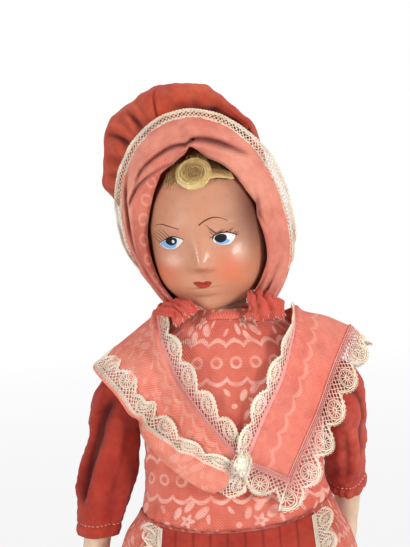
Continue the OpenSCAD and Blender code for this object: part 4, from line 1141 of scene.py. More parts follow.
# For each side: the sign of its x, the lift off the bodice, its two edges, and where its row of rings lies
FICHU = {"left": (1, 1.8, LEFT_NECK, LEFT_OUTER, 2.2), "right": (-1, 0.3, RIGHT_NECK, RIGHT_OUTER, -3.8)}
fichu_cotton = {}
for side, fresh, faded, shown in (("left", (230, 116, 98), (246, 148, 128), (0.5, 0.16, 0.0)),
                                  ("right", (224, 110, 90), (246, 158, 136), (0.45, 0.3, 0.4))):
    fichu_cotton[side] = cotton("fichu_cotton_" + side, colour(*fresh), colour(*faded), fade=0.5, pitch=0.95,
                                slant=1.0, relief=0.2, pattern=dress_print(colour(248, 186, 170), *shown))
for side, (sign, lift, neck_points, outer_points, ring_row) in FICHU.items():
    mirror = np.array([sign, 1, 1])
    neck, outer = smooth_path(neck_points, STEPS), smooth_path(outer_points, STEPS)
    share, way = np.linspace(0, 1, 44), np.linspace(0, 1, len(neck))[:, None]
    if side == "right":
        outer = outer + unit(neck - outer) * 3.2 * np.exp(-((way - 0.685) / 0.03) ** 2)
    grid = clear_of_body(mix(neck[:, None], outer[:, None], share[None, :, None]), lift)
    facing = sheet_facing(grid)
    wide = np.linalg.norm(outer - neck, axis=1)[:, None]
    bulge = (1.2 + 0.5 * swell(grid, 22, 71 + sign) + 0.9 * np.sin(np.pi * share)[None, :]
             * np.sin(np.pi * way) ** 2)
    bulge += (0.9 * crease((share[None, :] - 0.4 - 0.1 * np.sin(9 * way)) * wide, 2.2)
              * ease((way - 0.5) / 0.1) * ease((0.95 - way) / 0.2))
    bulge += ((0.7 + (1.3 if side == "right" else 0.4) * ease((0.75 - way) / 0.2))
              * np.exp(-((share[None, :] * wide - 1.8) / 1.9) ** 2))
    grid = grid + np.maximum(bulge, 0.5)[..., None] * facing
    grid = clear_of_body(grid, lift + 0.9)
    if side == "right":
        rounded = 3.4 * np.clip((share - 0.78) / 0.22, 0, 1)[None, :] ** 2 * ease((way - 0.9) / 0.1)
        grid = grid - rounded[..., None] * unit(grid[-1] - grid[-6])[None]
    facing = sheet_facing(grid)
    edge, face = grid[:, -1], facing[:, -1]
    out = unit(grid[:, -1] - grid[:, -4])
    if side == "left":
        hem = np.stack([edge + 0.2 * out - 0.3 * face, edge - 0.8 * out - 0.6 * face], 1)
    else:
        turned = np.interp(way[:, 0], [0, 0.66, 0.72, 0.78, 0.84, 0.92, 0.98, 1],
                           [0.5, 0.5, 2.5, 7.0, 9.0, 10.5, 10.0, 7.5])
        turned = turned * (1 + 0.12 * swell(edge, 13, 75))
        roll = np.interp(way[:, 0], [0.6, 0.8], [0.25, 0.9])
        hem = [edge + roll[:, None] * (out * math.sin(c) + face * (1 - math.cos(c)))
               for c in np.linspace(0, np.pi, 7)[1:]]
        for k in np.linspace(0, 1, 12)[1:]:
            place = turned[:, None] * k
            ground = np.array([[np.interp(wide[i, 0] - place[i, 0], share * wide[i, 0], grid[i, :, c])
                                for c in range(3)] for i in range(len(edge))])
            puff = 1.2 * math.sin(np.pi * min(1, k * 1.05)) + 0.45 * swell(ground, 7, 77)
            puffed = 2 * roll + puff * np.minimum(1, turned / 6)
            hem.append(ground + puffed[:, None] * face)
        hem = np.stack(hem + [hem[-1] - 1.1 * face], 1)
    cloth = np.concatenate([grid, hem], 1)
    across_way, along_way = sheet_map(cloth)[..., 0], way_along(cloth[:, 20])[:, None]
    lie = np.stack([along_way + 0 * across_way, across_way + HALF_ROW - ring_row], -1)
    half = cloth_piece("fichu_cloth_" + side, fichu_cotton[side], cloth * mirror, lie, flip=sign < 0)
    thicken(half, 0.7)
    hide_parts("fichu_" + side)
    "arm_" + side
    sign * 0.040
    sign * 0.060
    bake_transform(half)

    # Lace of this half: along the neck edge onto the bodice, and along the outer edge
    start = int(STEPS * 3.1)
    neck_edge = grid[start:, 0] + 0.3 * facing[start:, 0]
    inward = unit(grid[start:, 0] - grid[start:, 6])
    along_share = np.linspace(0, 1, len(neck_edge))
    lace_wide = ((7.2 if side == "left" else 10.6) * mix(0.5, 1, ease(along_share / 0.5))
                 * mix(1, 0.85, ease((along_share - 0.75) / 0.25)))
    neck_tip = clear_of_body(neck_edge + inward * lace_wide[:, None], lift + 0.6)
    if side == "left":
        stand = 4.5 * ease((0.55 - along_share) / 0.4)[:, None]
        neck_tip = neck_tip + facing[start:, 0] * stand - inward * stand * 0.8
    neck_foot = clear_of_body(neck_edge - inward * 0.8, lift + 1.2)
    neck_lace = lace_strip("neck_torchon_" + side, neck_foot * mirror, neck_tip * mirror,
                           ripple=0.5, seed=sign + 11, dye=0.9)
    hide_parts("fichu_lace_neck_" + side)
    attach(neck_lace, "torso")
    corner = np.linspace(0, 1, 10)[1:-1, None]
    if side == "left":
        foot = edge - out * 1.5 + 0.7 * face
        hang = unit(out - np.array([0, 0, 0.75]) * (1 - np.abs(out[:, 2:])) * ease((0.62 - way) / 0.2))
        tip = clear_of_body(edge + hang * 12.8 + face * 0.8, lift)
        end_way = np.linspace(43, 4, 30).astype(int)
        end_foot = grid[-1, end_way] + 1.2 * face[-1]
        drop = unit((grid[-1] - grid[-5])[end_way])
        end_tip = clear_of_body(end_foot + drop * 12.4, lift + 0.6)
        corner_out = unit(mix(out[-1], drop[0], corner))
        corner_foot = foot[-1] + corner_out * 0.8
        corner_tip = clear_of_body(foot[-1] + corner_out * 15.0, lift + 0.6)
    else:
        foot = hem[:, -3] + 0.5 * face
        inward_run = unit(grid[:, -12] - grid[:, -4])
        shown = np.interp(way, [0, 0.6, 0.66, 0.71, 0.77, 0.85, 1], [11.5, 11.5, 8.0, 12.2, 10.5, 6.2, 6.0])
        tip = clear_of_body(foot + inward_run * shown - face * 0.9, lift + 2.2)
        end_foot = mix(hem[-1, -3], edge[-1], np.linspace(0.05, 0.9, 24)[:, None]) + 0.9 * face[-1]
        drop = unit(grid[-1, -12] - grid[-5, -12]) + 0 * end_foot
        end_tip = clear_of_body(end_foot + drop * 9.5, lift + 1.6)
        corner_out = unit(mix(inward_run[-1], drop[0], corner))
        corner_foot = foot[-1] + corner_out * 0.5
        corner_tip = clear_of_body(foot[-1] + corner_out * 8.5, lift + 2.0)
    foot = np.concatenate([foot, corner_foot, end_foot])
    tip = np.concatenate([tip, corner_tip, end_tip])
    edge_lace = lace_strip("edge_torchon_" + side, foot * mirror, tip * mirror, ripple=0.6, seed=sign + 17,
                           dye=0.8 if side == "left" else 0.15)
    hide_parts("fichu_lace_edge_" + side)
    "arm_" + side
    sign * 0.040
    sign * 0.060
    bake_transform(edge_lace)
    "sleeve_cloth_" + side

# Rosette
# A short length of the lace, gathered along its footing into a small ruffled knot that is sewn over
# the crossing of the fichu.
centre = over_front(3.2, 239.5, 5.2)
frill = np.linspace(0, 4.4 * np.pi, 150)
growth = np.linspace(2.6, 4.3, 150)
foot = np.stack([centre[0] + 0.32 * growth * np.cos(frill), centre[1] - 1.2 + 0 * frill,
                 centre[2] + 0.42 * growth * np.sin(frill)], -1)
tip = np.stack([centre[0] + growth * np.cos(frill),
                centre[1] - 2.6 - 0.9 * np.sin(5.5 * frill) + 0.25 * (growth - 3),
                centre[2] + 1.45 * growth * np.sin(frill)], -1)
ruffle = lace_strip("rosette_lace", foot, tip, repeat=6.0, width=5.0, ripple=0.2, seed=23)
lat, lon = np.linspace(0, np.pi, 20)[:, None], round_angles(40)[None, :]
pucker = 1 + 0.16 * np.cos(7 * lon + 2 * lat)
knot_grid = np.stack([centre[0] + 2.8 * np.sin(lat) * np.cos(lon) * pucker,
                      centre[1] - 1.4 - 1.3 * np.cos(lat) + 0 * lon,
                      centre[2] + 4.4 * np.sin(lat) * np.sin(lon) * pucker], -1)
knot = cloth_piece("rosette_knot", lace_thread, knot_grid, wrap=True, flip=True)
mark(knot, "strand", np.ones(len(knot.data.vertices)))
dice = np.random.default_rng(25)
tangle = []
for _ in range(120):
    middle = centre + dice.normal(size=3) * [1.4, 0.3, 2.3] - [0, 2.0, 0]
    turn = dice.uniform(0, 6) + np.linspace(0, dice.uniform(2, 5), 12)
    first, second = unit(dice.normal(size=3)), unit(dice.normal(size=3))
    size = dice.uniform(0.7, 1.7)
    loop = (middle + size * (np.cos(turn)[:, None] * first * [1, 0.5, 1.3]
                             + np.sin(turn)[:, None] * second * [1, 0.5, 1.3]))
    tangle.append((loop, np.array([0.0, -1, 0]) + 0 * loop, dice.uniform(0.14, 0.3)))
tangle = thread_piece("rosette_threads", lace_thread, tangle)
for piece in (knot, tangle):
    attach(piece, "torso")
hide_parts("rosette")
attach(ruffle, "torso")


# Head
# A stuffed muslin ball on a short neck, which a disc joint holds to the body. It turns a little to one
# side and nods; the mask and the bonnet are fixed on it.
def turned(axis, degrees):
    return np.array(Matrix.Rotation(math.radians(degrees), 3, axis))


NECK = np.array([-4, 0, 306])
HEAD_MIDDLE = 33.5
HEAD_TURN = turned("Y", -5.5) @ turned("X", 5) @ turned("Z", -10)


def on_head(points):
    """Points from the head's own place, with its origin at the neck joint, to the doll's."""
    return np.asarray(points) @ HEAD_TURN.T + NECK


angle, way = round_angles(72)[None, :], np.linspace(0, 1, 60)[:, None]
level = mix(65.4, 0.35, way)
ball = 23.4 * np.sqrt(np.clip(1 - ((level - HEAD_MIDDLE) / 32) ** 2, 0, 1))
neck = np.where(level < 11, 12.4, 0)
r = np.maximum(ball, neck) - 0.3 * np.exp(-((np.cos(angle)) * 22 / 0.9) ** 2)
grid = on_head(np.stack([r * np.cos(angle), r * np.sin(angle), level + 0 * angle], -1))
head = cloth_piece("stuffed_head", muslin, grid, wrap=True, closed=True)
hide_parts("head_ball")
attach(head, "head")

# Face mask
# Buckram pressed over a mould with nose, lips, chin, cheeks, brows and eye hollows, then painted in
# flesh colour, blushed and varnished. It is glued over the front of the head.
MASK_HALF, MASK_OUT = np.array([23.7, 23.7, 32.3]), 3.0
# The mould's rises and hollows: how far out, place across and up, half width, and reach above and below
FACE = (
    (2.6, -0.5, 24.4, 2.9, 3.4, 2.2), (2.2, -0.6, 27.5, 3.5, 8.0, 4.0), (1.0, -3.6, 23.3, 1.6, 1.6, 1.4),
    (1.0, 2.6, 23.3, 1.6, 1.6, 1.4), (1.9, -14.5, 18.5, 8.0, 8.0, 8.0), (1.9, 11.5, 18.5, 8.0, 8.0, 8.0),
    (1.2, -2.0, 15.5, 4.4, 1.5, 1.2), (1.4, -2.0, 13.2, 3.6, 1.2, 1.9), (-0.6, -2.0, 14.7, 4.6, 0.5, 0.5),
    (-0.4, -1.4, 18.6, 1.2, 1.8, 1.8), (2.3, -1.9, 6.4, 6.5, 4.0, 4.5), (-0.7, -1.9, 10.3, 5.0, 1.5, 1.5),
    (0.9, -14, 40, 7.5, 3.0, 3.0), (0.9, 10, 40, 7.5, 3.0, 3.0), (-1.6, -13.6, 34.1, 6.2, 4.0, 4.0),
    (-1.6, 10.5, 33.8, 5.6, 4.0, 4.0), (1.0, -13.5, 34.1, 4.6, 2.6, 2.4), (1.0, 10.4, 33.8, 4.2, 2.6, 2.4))


def mask_point(side, rise, lift):
    """Points on the mask by their angle to the side and upwards, lifted off it."""
    way = np.stack([np.sin(side) * np.cos(rise), -np.cos(side) * np.cos(rise), np.sin(rise)], -1)
    p = way * MASK_HALF + np.array([0, 0, HEAD_MIDDLE])
    relief = 0
    for out, x, z, wide, above, below in FACE:
        down = np.where(p[..., 2] > z, above, below)
        relief = relief + out * np.exp(-((p[..., 0] - x) / wide) ** 2 - ((p[..., 2] - z) / down) ** 2)
    return p + (MASK_OUT + lift + relief)[..., None] * way


def on_mask(x, z, lift):
    """Points on the mask in front of a place across and up, lifted off it by the paint."""
    x, z = np.asarray(x, float), np.asarray(z, float)
    rise = np.arcsin(np.clip((z - HEAD_MIDDLE) / 35.3, -0.95, 0.95))
    side = np.arcsin(np.clip(x / (26.7 * np.cos(rise)), -0.98, 0.98))
    for _ in range(14):
        p = mask_point(side, rise, lift + 0 * side)
        side = side + 0.8 * (x - p[..., 0]) / (27 * np.cos(rise) * np.cos(side))
        rise = rise + 0.8 * (z - p[..., 2]) / (36 * np.cos(rise))
    return mask_point(side, rise, lift + 0 * side)


rise, side = np.meshgrid(np.radians(np.linspace(66, -60, 200)), np.linspace(-1, 1, 220), indexing="ij")
side = np.radians(78) * np.sign(side) * np.abs(side) ** 1.2
mask_grid = mask_point(side, rise, 0 * side)
worn = 0.04 * swell(mask_grid, 12, 81)
mask_grid = mask_point(side, rise, worn)

material, tree, shader, place = new_material("painted_mask")
lay = tree.nodes.new("ShaderNodeAttribute")
lay.attribute_name = "face_place"
split = tree.nodes.new("ShaderNodeSeparateXYZ")
tree.links.new(lay.outputs["Vector"], split.inputs[0])
face_x, face_z = Field(tree, split.outputs["X"]), Field(tree, split.outputs["Z"])
blotch = noise(tree, place, 0.006, 4.0)
tone = blend_colour(tree, blotch, colour(192, 130, 99), colour(209, 149, 118))


def face_spot(cx, cz, wide, tall):
    """A soft round spot on the face, 1 in its middle."""
    spot = ((face_x - cx) * (1 / wide)).length((face_z - cz) * (1 / tall))
    return (spot * spot * -1.4).math("EXPONENT")


# Blush; painted shade round the eyes, under the nose and under the lip; painted highlights on the cheeks;
# and painted shadow of the brim down both sides of the face
for cx, cz, wide, tall, shade, strength in (
        (11.5, 20.4, 9.0, 8.5, (220, 104, 60), 0.75), (-18.0, 20.5, 7.5, 8.0, (216, 104, 62), 0.8),
        (-12.0, 38.5, 7.0, 2.0, (190, 112, 78), 0.3), (-0.6, 22.0, 4.4, 1.0, (150, 82, 56), 0.45),
        (-2.0, 11.0, 3.5, 0.9, (160, 90, 62), 0.4), (11.0, 30.2, 5.0, 1.2, (190, 112, 78), 0.4),
        (-14.0, 26.6, 5.0, 3.6, (250, 206, 186), 0.55), (16.2, 27.0, 3.6, 4.2, (250, 210, 190), 0.5),
        (27.0, 48.0, 13.0, 26.0, (78, 28, 16), 1.0), (26.5, 47.0, 8.0, 24.0, (96, 42, 26), 0.6),
        (-30.0, 40.0, 9.0, 34.0, (104, 50, 32), 0.85)):
    tone = blend_colour(tree, face_spot(cx, cz, wide, tall) * strength, tone, colour(*shade))
soot = noise(tree, place, 0.0016, 5.0).below(0.35, 0.14) * 0.2
tone = blend_colour(tree, soot, tone, colour(150, 88, 60))
gloss = blotch * 0.1
for place_and_size in ((11.0, 24.0, 8.0, 8.0), (-17.0, 24.5, 8.0, 8.0), (-0.6, 25.5, 5.0, 7.0),
                       (-2.0, 8.0, 7.0, 4.0)):
    gloss = gloss.most(face_spot(*place_and_size) * 0.6)
feed(shader, Base_Color=tone, Roughness=blotch * 0.15 + 0.48, Coat_Weight=gloss, Coat_Roughness=0.14)
ripples = noise(tree, place, 0.0022, 3.0)
bump_normal(tree, shader, ripples, 0.0001)
mask = cloth_piece("face_mask_shell", material, on_head(mask_grid), sheet_map(mask_grid))
thicken(mask, 1.2)
where = mask.data.attributes.new("face_place", "FLOAT_VECTOR", "POINT")
where.data.foreach_set("vector", mask_grid.reshape(-1, 3).astype(np.float32).ravel())
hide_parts("face_mask")
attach(mask, "head")


# Painted features
# The eyes, lids, lashes, brows and lips are laid on the mask with a fine brush in thin coats of
# enamel, each stroke thickest where the brush was pressed.
def enamel(name, first, second, size=0.002):
    material, tree, shader, place = new_material(name)
    streak = noise(tree, place, size, 4.0)
    feed(shader, Base_Color=blend_colour(tree, streak, first, second), Roughness=streak * 0.2 + 0.3,
         Specular_IOR_Level=0.25)
    return material


def smooth_ring(points, steps):
    p = list(points)
    path = smooth_path(np.array([(*q, 0) for q in p[-2:] + p + p[:3]]), steps)
    return path[2 * steps:(2 + len(p)) * steps, :2]


def paint_patch(name, outline, lift, finish):
    """A patch of paint inside an outline of places across and up the face."""
    ring = smooth_ring(outline, 6)
    middle = ring.mean(0)
    rings = np.array([middle + (ring - middle) * t for t in (0.02, 0.3, 0.55, 0.78, 0.93, 1.0)])
    depth = np.array([lift] * 5 + [-0.05])[:, None] + 0 * rings[..., 0]
    grid = on_head(on_mask(rings[..., 0], rings[..., 1], depth))
    patch = cloth_piece(name, finish, grid, np.concatenate([rings, rings[:, :1]], 1), wrap=True, closed=True)
    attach(patch, "head")


def brush_strokes(name, strokes, lift, finish):
    """Thin strokes of paint along lines of places, each with its width at the start, middle and end."""
    points, quads, base = [], [], 0
    for line, widths in strokes:
        path = (smooth_path(np.array([(*q, 0) for q in line]), 8)[:, :2] if len(line) > 2
                else np.linspace(line[0], line[1], 8))
        run = np.gradient(path, axis=0)
        side = np.stack([-run[:, 1], run[:, 0]], -1) / (np.linalg.norm(run, axis=1, keepdims=True) + 1e-9)
        wide = np.interp(np.linspace(0, 1, len(path)), [0, 0.5, 1], widths)[:, None] / 2
        rows = [on_mask(*(path + side * wide * k).T, np.full(len(path), h))
                for k, h in ((-1, -0.04), (-0.6, lift), (0.6, lift), (1, -0.04))]
        points.append(on_head(np.stack(rows, 1)).reshape(-1, 3))
        i = base + 4 * np.arange(len(path) - 1)[:, None] + np.arange(3)[None, :]
        quads.append(np.stack([i, i + 1, i + 5, i + 4], -1).reshape(-1, 4))
        base += 4 * len(path)
    piece = make_piece(name, finish, np.concatenate(points), [np.concatenate(quads)])
    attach(piece, "head")


eye_white = enamel("eye_white", colour(206, 212, 220), colour(236, 236, 234))
eye_blue = enamel("eye_blue", colour(108, 158, 214), colour(150, 190, 232))
eye_black = enamel("eye_black", colour(6, 6, 8), colour(20, 20, 24))
brow_brown = enamel("brow_brown", colour(74, 36, 22), colour(112, 62, 40))
lash_brown = enamel("lash_brown", colour(62, 28, 18), colour(96, 50, 34))
lip_red = enamel("lip_red", colour(152, 38, 30), colour(184, 66, 50))
# A small pale disc on one pupil as a painted highlight
eye_light = [(-12.5 + 0.75 * math.cos(t), 34.8 + 0.75 * math.sin(t)) for t in np.arange(0, 6.2, 0.8)]
# Patches of paint: name, enamel, lift off the mask, and outline as places across and up
for name, finish, lift, outline in (
        ("eye_white_right", eye_white, 0.05, [
            (-19.9, 34.0), (-16.4, 35.6), (-13.3, 36.7), (-10.9, 36.6), (-7.6, 35.5), (-9.4, 33.2),
            (-11.8, 31.7), (-14.0, 31.3), (-16.5, 31.5), (-18.8, 32.5)]),
        ("eye_blue_right", eye_blue, 0.09, [
            (-19.6, 33.9), (-16.0, 35.4), (-11.1, 35.4), (-10.6, 34.1), (-11.3, 32.6), (-13.2, 31.6),
            (-15.7, 31.7), (-18.3, 32.6)]),
        ("eye_black_right", eye_black, 0.13, [
            (-16.6, 34.8), (-15.5, 36.1), (-13.1, 36.7), (-10.9, 36.2), (-10.5, 34.9), (-11.5, 33.6),
            (-13.4, 33.0), (-15.4, 33.5)]),
        ("eye_light_right", eye_white, 0.18, eye_light),
        ("eye_white_left", eye_white, 0.05, [
            (5.6, 34.0), (6.3, 35.6), (8.7, 36.3), (10.7, 36.3), (12.6, 35.9), (15.2, 34.4), (13.1, 31.5),
            (10.8, 31.0), (8.6, 31.3), (6.4, 32.5)]),
        ("eye_blue_left", eye_blue, 0.09, [
            (6.5, 32.8), (8.9, 33.8), (11.8, 33.4), (12.7, 32.4), (11.1, 31.4), (8.6, 31.5)]),
        ("eye_black_left", eye_black, 0.13, [
            (6.1, 34.4), (7.0, 35.7), (8.9, 36.2), (10.9, 35.7), (11.6, 34.4), (11.0, 32.9), (8.9, 32.2),
            (7.0, 33.0)]),
        ("painted_lips", lip_red, 0.07, [
            (-6.2, 15.8), (-3.8, 16.1), (-1.8, 15.6), (0.2, 15.9), (2.2, 15.1), (1.5, 13.9), (0.1, 13.0),
            (-1.8, 12.6), (-3.7, 13.0), (-5.2, 14.3)])):
    paint_patch(name, outline, lift, finish)
brush_strokes("painted_brows", [
    ([(-20.7, 42.0), (-17.5, 42.6), (-13.8, 41.8), (-8.9, 40.2)], (0.15, 0.5, 0.55)),
    ([(0.3, 41.1), (2.4, 42.4), (5.3, 43.5), (8.0, 43.6), (10.6, 42.8), (13.0, 41.3)], (0.7, 0.55, 0.12))],
    0.08, brow_brown)
brush_strokes("painted_lids", [
    ([(-20.2, 33.9), (-16.4, 35.8), (-13.2, 36.9), (-10.8, 36.8), (-7.4, 35.6)], (0.3, 0.65, 0.3)),
    ([(5.4, 34.3), (6.3, 35.8), (8.7, 36.6), (10.7, 36.6), (12.7, 36.2), (15.6, 34.4)], (0.35, 0.7, 0.45)),
    ([(-6.3, 15.4), (-3.8, 15.0), (-1.8, 14.7), (0.2, 14.9), (2.2, 14.9)], (0.1, 0.22, 0.1))],
    0.16, eye_black)
# Lashes: root and tip, each across and up
LASHES = (
    (-14.2, 36.9, -17.2, 40.4), (-15.5, 36.6, -19.4, 40.2), (-16.9, 36.1, -21.3, 39.6),
    (-18.2, 35.4, -22.6, 38.5), (-19.4, 34.6, -23.2, 36.9), (6.9, 36.6, 4.3, 39.2), (7.5, 36.7, 3.3, 41.0),
    (6.4, 35.9, 4.5, 37.8), (5.7, 35.5, 4.1, 34.9), (6.9, 36.7, 10.8, 38.2), (8.2, 36.7, 11.2, 37.7),
    (10.5, 36.6, 12.8, 37.2), (11.3, 36.5, 14.2, 37.8), (12.7, 36.2, 14.7, 38.0), (14.3, 35.5, 15.6, 36.4),
    (15.2, 34.8, 16.7, 34.6), (15.1, 35.1, 16.7, 35.8))
brush_strokes("painted_lashes", [
    ([(x, z), (tip_x, tip_z)], (0.34, 0.26, 0.1) if x < 0 else (0.36, 0.3, 0.12))
    for x, z, tip_x, tip_z in LASHES], 0.16, lash_brown)

# Hair
# Combed blond mohair, rolled into a flat curl over the forehead with a darker loose lock beside it, and a
# few stray wisps. It is glued to the mask's top edge, under the bonnet.
mohair, tree, shader, place = new_material("mohair")
shade = marked(tree, "strand")
# A strand's mark sets its brightness from dark brown through blond to pale cream, partly the hair's own tone
# and partly painted light and shade
tone = blend_colour(tree, (shade * 2).math("MINIMUM", 1.0), colour(112, 72, 40), colour(214, 172, 106))
tone = blend_colour(tree, (shade * 2 - 1).math("MAXIMUM", 0.0), tone, colour(255, 238, 172))
feed(shader, Base_Color=tone, Roughness=0.4, Anisotropic=0.5)


def on_forehead(side, rise):
    """A place on the mask with the ways across, up and out from it."""
    s, r = math.radians(side), math.radians(rise)
    out = np.array([math.sin(s) * math.cos(r), -math.cos(s) * math.cos(r), math.sin(r)])
    across = unit(np.cross(out, [0, 0, 1.0])) * -1
    upward = unit(np.cross(across, out))
    place = mask_point(np.array(s), np.array(r), np.array(0.3))
    return place, across * np.sign(across[0]), upward * np.sign(upward[2]), out


CURL = 8.2
FORWARD = np.array([0, -0.7, 0.7])
dice = np.random.default_rng(91)
strands = []


def add_strand(path, facing, radius, lit):
    strands.append((on_head(path), HEAD_TURN @ facing + 0 * path, radius, float(lit)))


# The rolled curl
place, across, upward, out = on_forehead(-2, 53.5)
out = unit(out + np.array([0, -0.5, -0.25]))
across = unit(np.cross(out, upward)) * np.sign(np.cross(out, upward)[0])
upward = unit(np.cross(across, out)) * np.sign(np.cross(across, out)[2])
for _ in range(560):
    ring = CURL * dice.uniform(0.15, 1.0) ** 0.55
    turn = dice.uniform(0, 2 * np.pi) + np.linspace(0, dice.uniform(1.2, 3.0), 22)
    reach = (ring * (1 - dice.uniform(0.0, 0.14) * (turn - turn[0]))
             + dice.uniform(0.1, 0.5) * np.sin(dice.uniform(1.2, 2.6) * turn + dice.uniform(0, 6)))
    dome = 2.6 * np.sqrt(np.clip(1 - ((reach - 4.9) / 3.6) ** 2, 0.02, 1)) * dice.uniform(0.6, 1.0)
    path = (place + (reach * np.cos(turn))[:, None] * across + (0.9 * reach * np.sin(turn))[:, None] * upward
            + (0.4 + dome)[:, None] * out)
    # Painted light and shade with random tone: lighter towards the outside of the curl and on its lower side,
    # darker on its upper side
    lit = 0.50 + 0.5 * (ring / CURL - 0.5) - 0.2 * math.sin(turn[11]) + dice.normal() * 0.22
    add_strand(path, out, dice.uniform(0.06, 0.11), np.clip(lit, 0.1, 1))
# Loose hair in the middle of the curl
for _ in range(240):
    spot = dice.normal(size=2) * 1.9
    turn = dice.uniform(0, 6.28)
    way = np.linspace(-1, 1, 9) * dice.uniform(1.0, 2.4)
    path = (place + (spot[0] + way * math.cos(turn))[:, None] * across
            + (spot[1] + way * math.sin(turn))[:, None] * upward
            + (1.6 + 0.5 * dice.uniform() - 0.12 * way ** 2)[:, None] * out)
    add_strand(path, out, 0.07, dice.uniform(0.15, 0.6))
# The lock beside it
place, across, upward, out = on_forehead(24, 51)
for _ in range(230):
    start, bow = dice.uniform(-3.4, 3.6), dice.uniform(0.6, 1.6)
    way = np.linspace(0, 1, 18)
    x = mix(-6.5, 8.5, way) + 0.5 * np.sin(6 * way + dice.uniform(0, 6))
    z = start * (1 - 0.35 * way) + bow * np.sin(np.pi * way * 1.1) - 2.2 * way ** 2
    lift = 0.4 + dice.uniform(0.1, 1.9) * np.sin(np.pi * np.clip(way + 0.1, 0, 1)) * (1 - (start / 5) ** 2)
    path = place + x[:, None] * across + z[:, None] * upward + lift[:, None] * out
    # Darker towards the top of the lock, with a painted highlight along its bottom edge and random tone
    lit = np.clip(0.46 - 0.08 * (start + 3.4) + dice.normal() * 0.16 + (0.2 if start < -2.8 else 0), 0.02, 1)
    add_strand(path, out, dice.uniform(0.06, 0.11), lit)
# The hair line under the brim, with a few wisps
for k in range(520):
    start_side, start_rise = dice.uniform(-52, 52), dice.uniform(58, 74)
    t = np.linspace(0, 1, 16)
    wisp = k < 26
    path_side = start_side + dice.uniform(-8, 8) * t + 3.0 * np.sin(7 * t + dice.uniform(0, 6)) * t
    lift = 0.2 + dice.uniform(0.1, 0.5 if wisp else 1.5) * np.sin(np.pi * t)
    fall = dice.uniform(14, 26) if wisp else dice.uniform(6, 16)
    path = mask_point(np.radians(path_side), np.radians(start_rise - fall * t), lift)
    lit = 0.95 if wisp else np.clip(0.35 - 0.006 * start_side + dice.normal() * 0.15, 0.02, 0.8)
    add_strand(path, FORWARD, 0.05 if wisp else 0.09, lit)
# Hair behind the curl and at the temple, dark partly in its own tone and partly as painted shade under the
# brim
for k in range(360):
    t = np.linspace(0, 1, 16)
    if k < 200:
        path_side = dice.uniform(-16, 22) + dice.uniform(-9, 9) * t
        rise = dice.uniform(70, 86) - dice.uniform(10, 24) * t
        lift, lit = 0.6 + dice.uniform(0.4, 3.4) * np.sin(np.pi * t), dice.uniform(0.12, 0.55)
    else:
        path_side = dice.uniform(-56, -14) + dice.uniform(-5, 12) * t
        rise = dice.uniform(58, 72) - dice.uniform(6, 17) * t
        lift, lit = 0.3 + dice.uniform(0.2, 1.8) * np.sin(np.pi * t), dice.uniform(0.08, 0.5)
    path = mask_point(np.radians(path_side), np.radians(rise), lift)
    add_strand(path, FORWARD, 0.1, lit)
hair = thread_piece("mohair_curls", mohair, strands)
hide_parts("hair_curls")
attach(hair, "head")


# Bonnet brim
# A wide band of the printed twill, faded plain outside, padded and folded double round the face. It is
# pinched over the forehead into two soft curtains and gathered at each end under the jaw.
def brim_place(angle, out, y):
    """Points round the face opening by the angle from its top, the distance out from it and the depth."""
    jaw = 2.4 * ease((np.abs(angle) / 90 - 0.8) / 0.5)
    a = np.radians(angle)
    return np.stack([(25 + jaw + out) * np.sin(a), y + 0 * out, 34.7 + (38 + out) * np.cos(a)], -1)


brim_angle = np.linspace(-141, 140, 340)[:, None]
# How far the brim reaches out, and where its inner edge lies, by the angle round the face
REACH = ([-148, -139, -119, -100, -90, -74, -58, -40, -20, 0, 20, 35, 60, 90, 110, 125, 139, 147],
         [4.0, 5.5, 6.5, 9.5, 12, 15, 16.4, 16.8, 16.2, 14.6, 12.8, 11.6, 11, 10.7, 10.5, 10, 9.5, 8.0])
INNER = ([-139, -110, -85, -65, -44, -40, -25, -10, -2.5, 6, 15, 33, 48, 61, 73, 81, 94, 110, 139],
         [-1, -1.2, 0.3, -0.5, -0.5, 0, -2, -1, 1.9, -1.2, -3.4, -2.5, -2, -1.5, 0.5, -1, 0, 0.6, -0.6])
reach, inner = np.interp(brim_angle, *REACH), np.interp(brim_angle, *INNER)
for table in (reach, inner):
    table[2:-2, 0] = np.convolve(table[:, 0], np.array([1, 2, 3, 2, 1]) / 9, "same")[2:-2]
across = np.linspace(0, 1, 76)[None, :]
out = mix(reach, inner, across)
swing = np.interp(across, [0, 0.12, 0.35, 0.6, 0.8, 0.93, 1], [0, 2.6, 6.2, 8.8, 10.4, 10.6, 8.6])
swing = np.array([np.convolve(np.pad(row, 4, "edge"), np.ones(9) / 9, "valid") for row in swing])
front = -3.0 - swing - 0.6 * np.sin(np.pi * across)
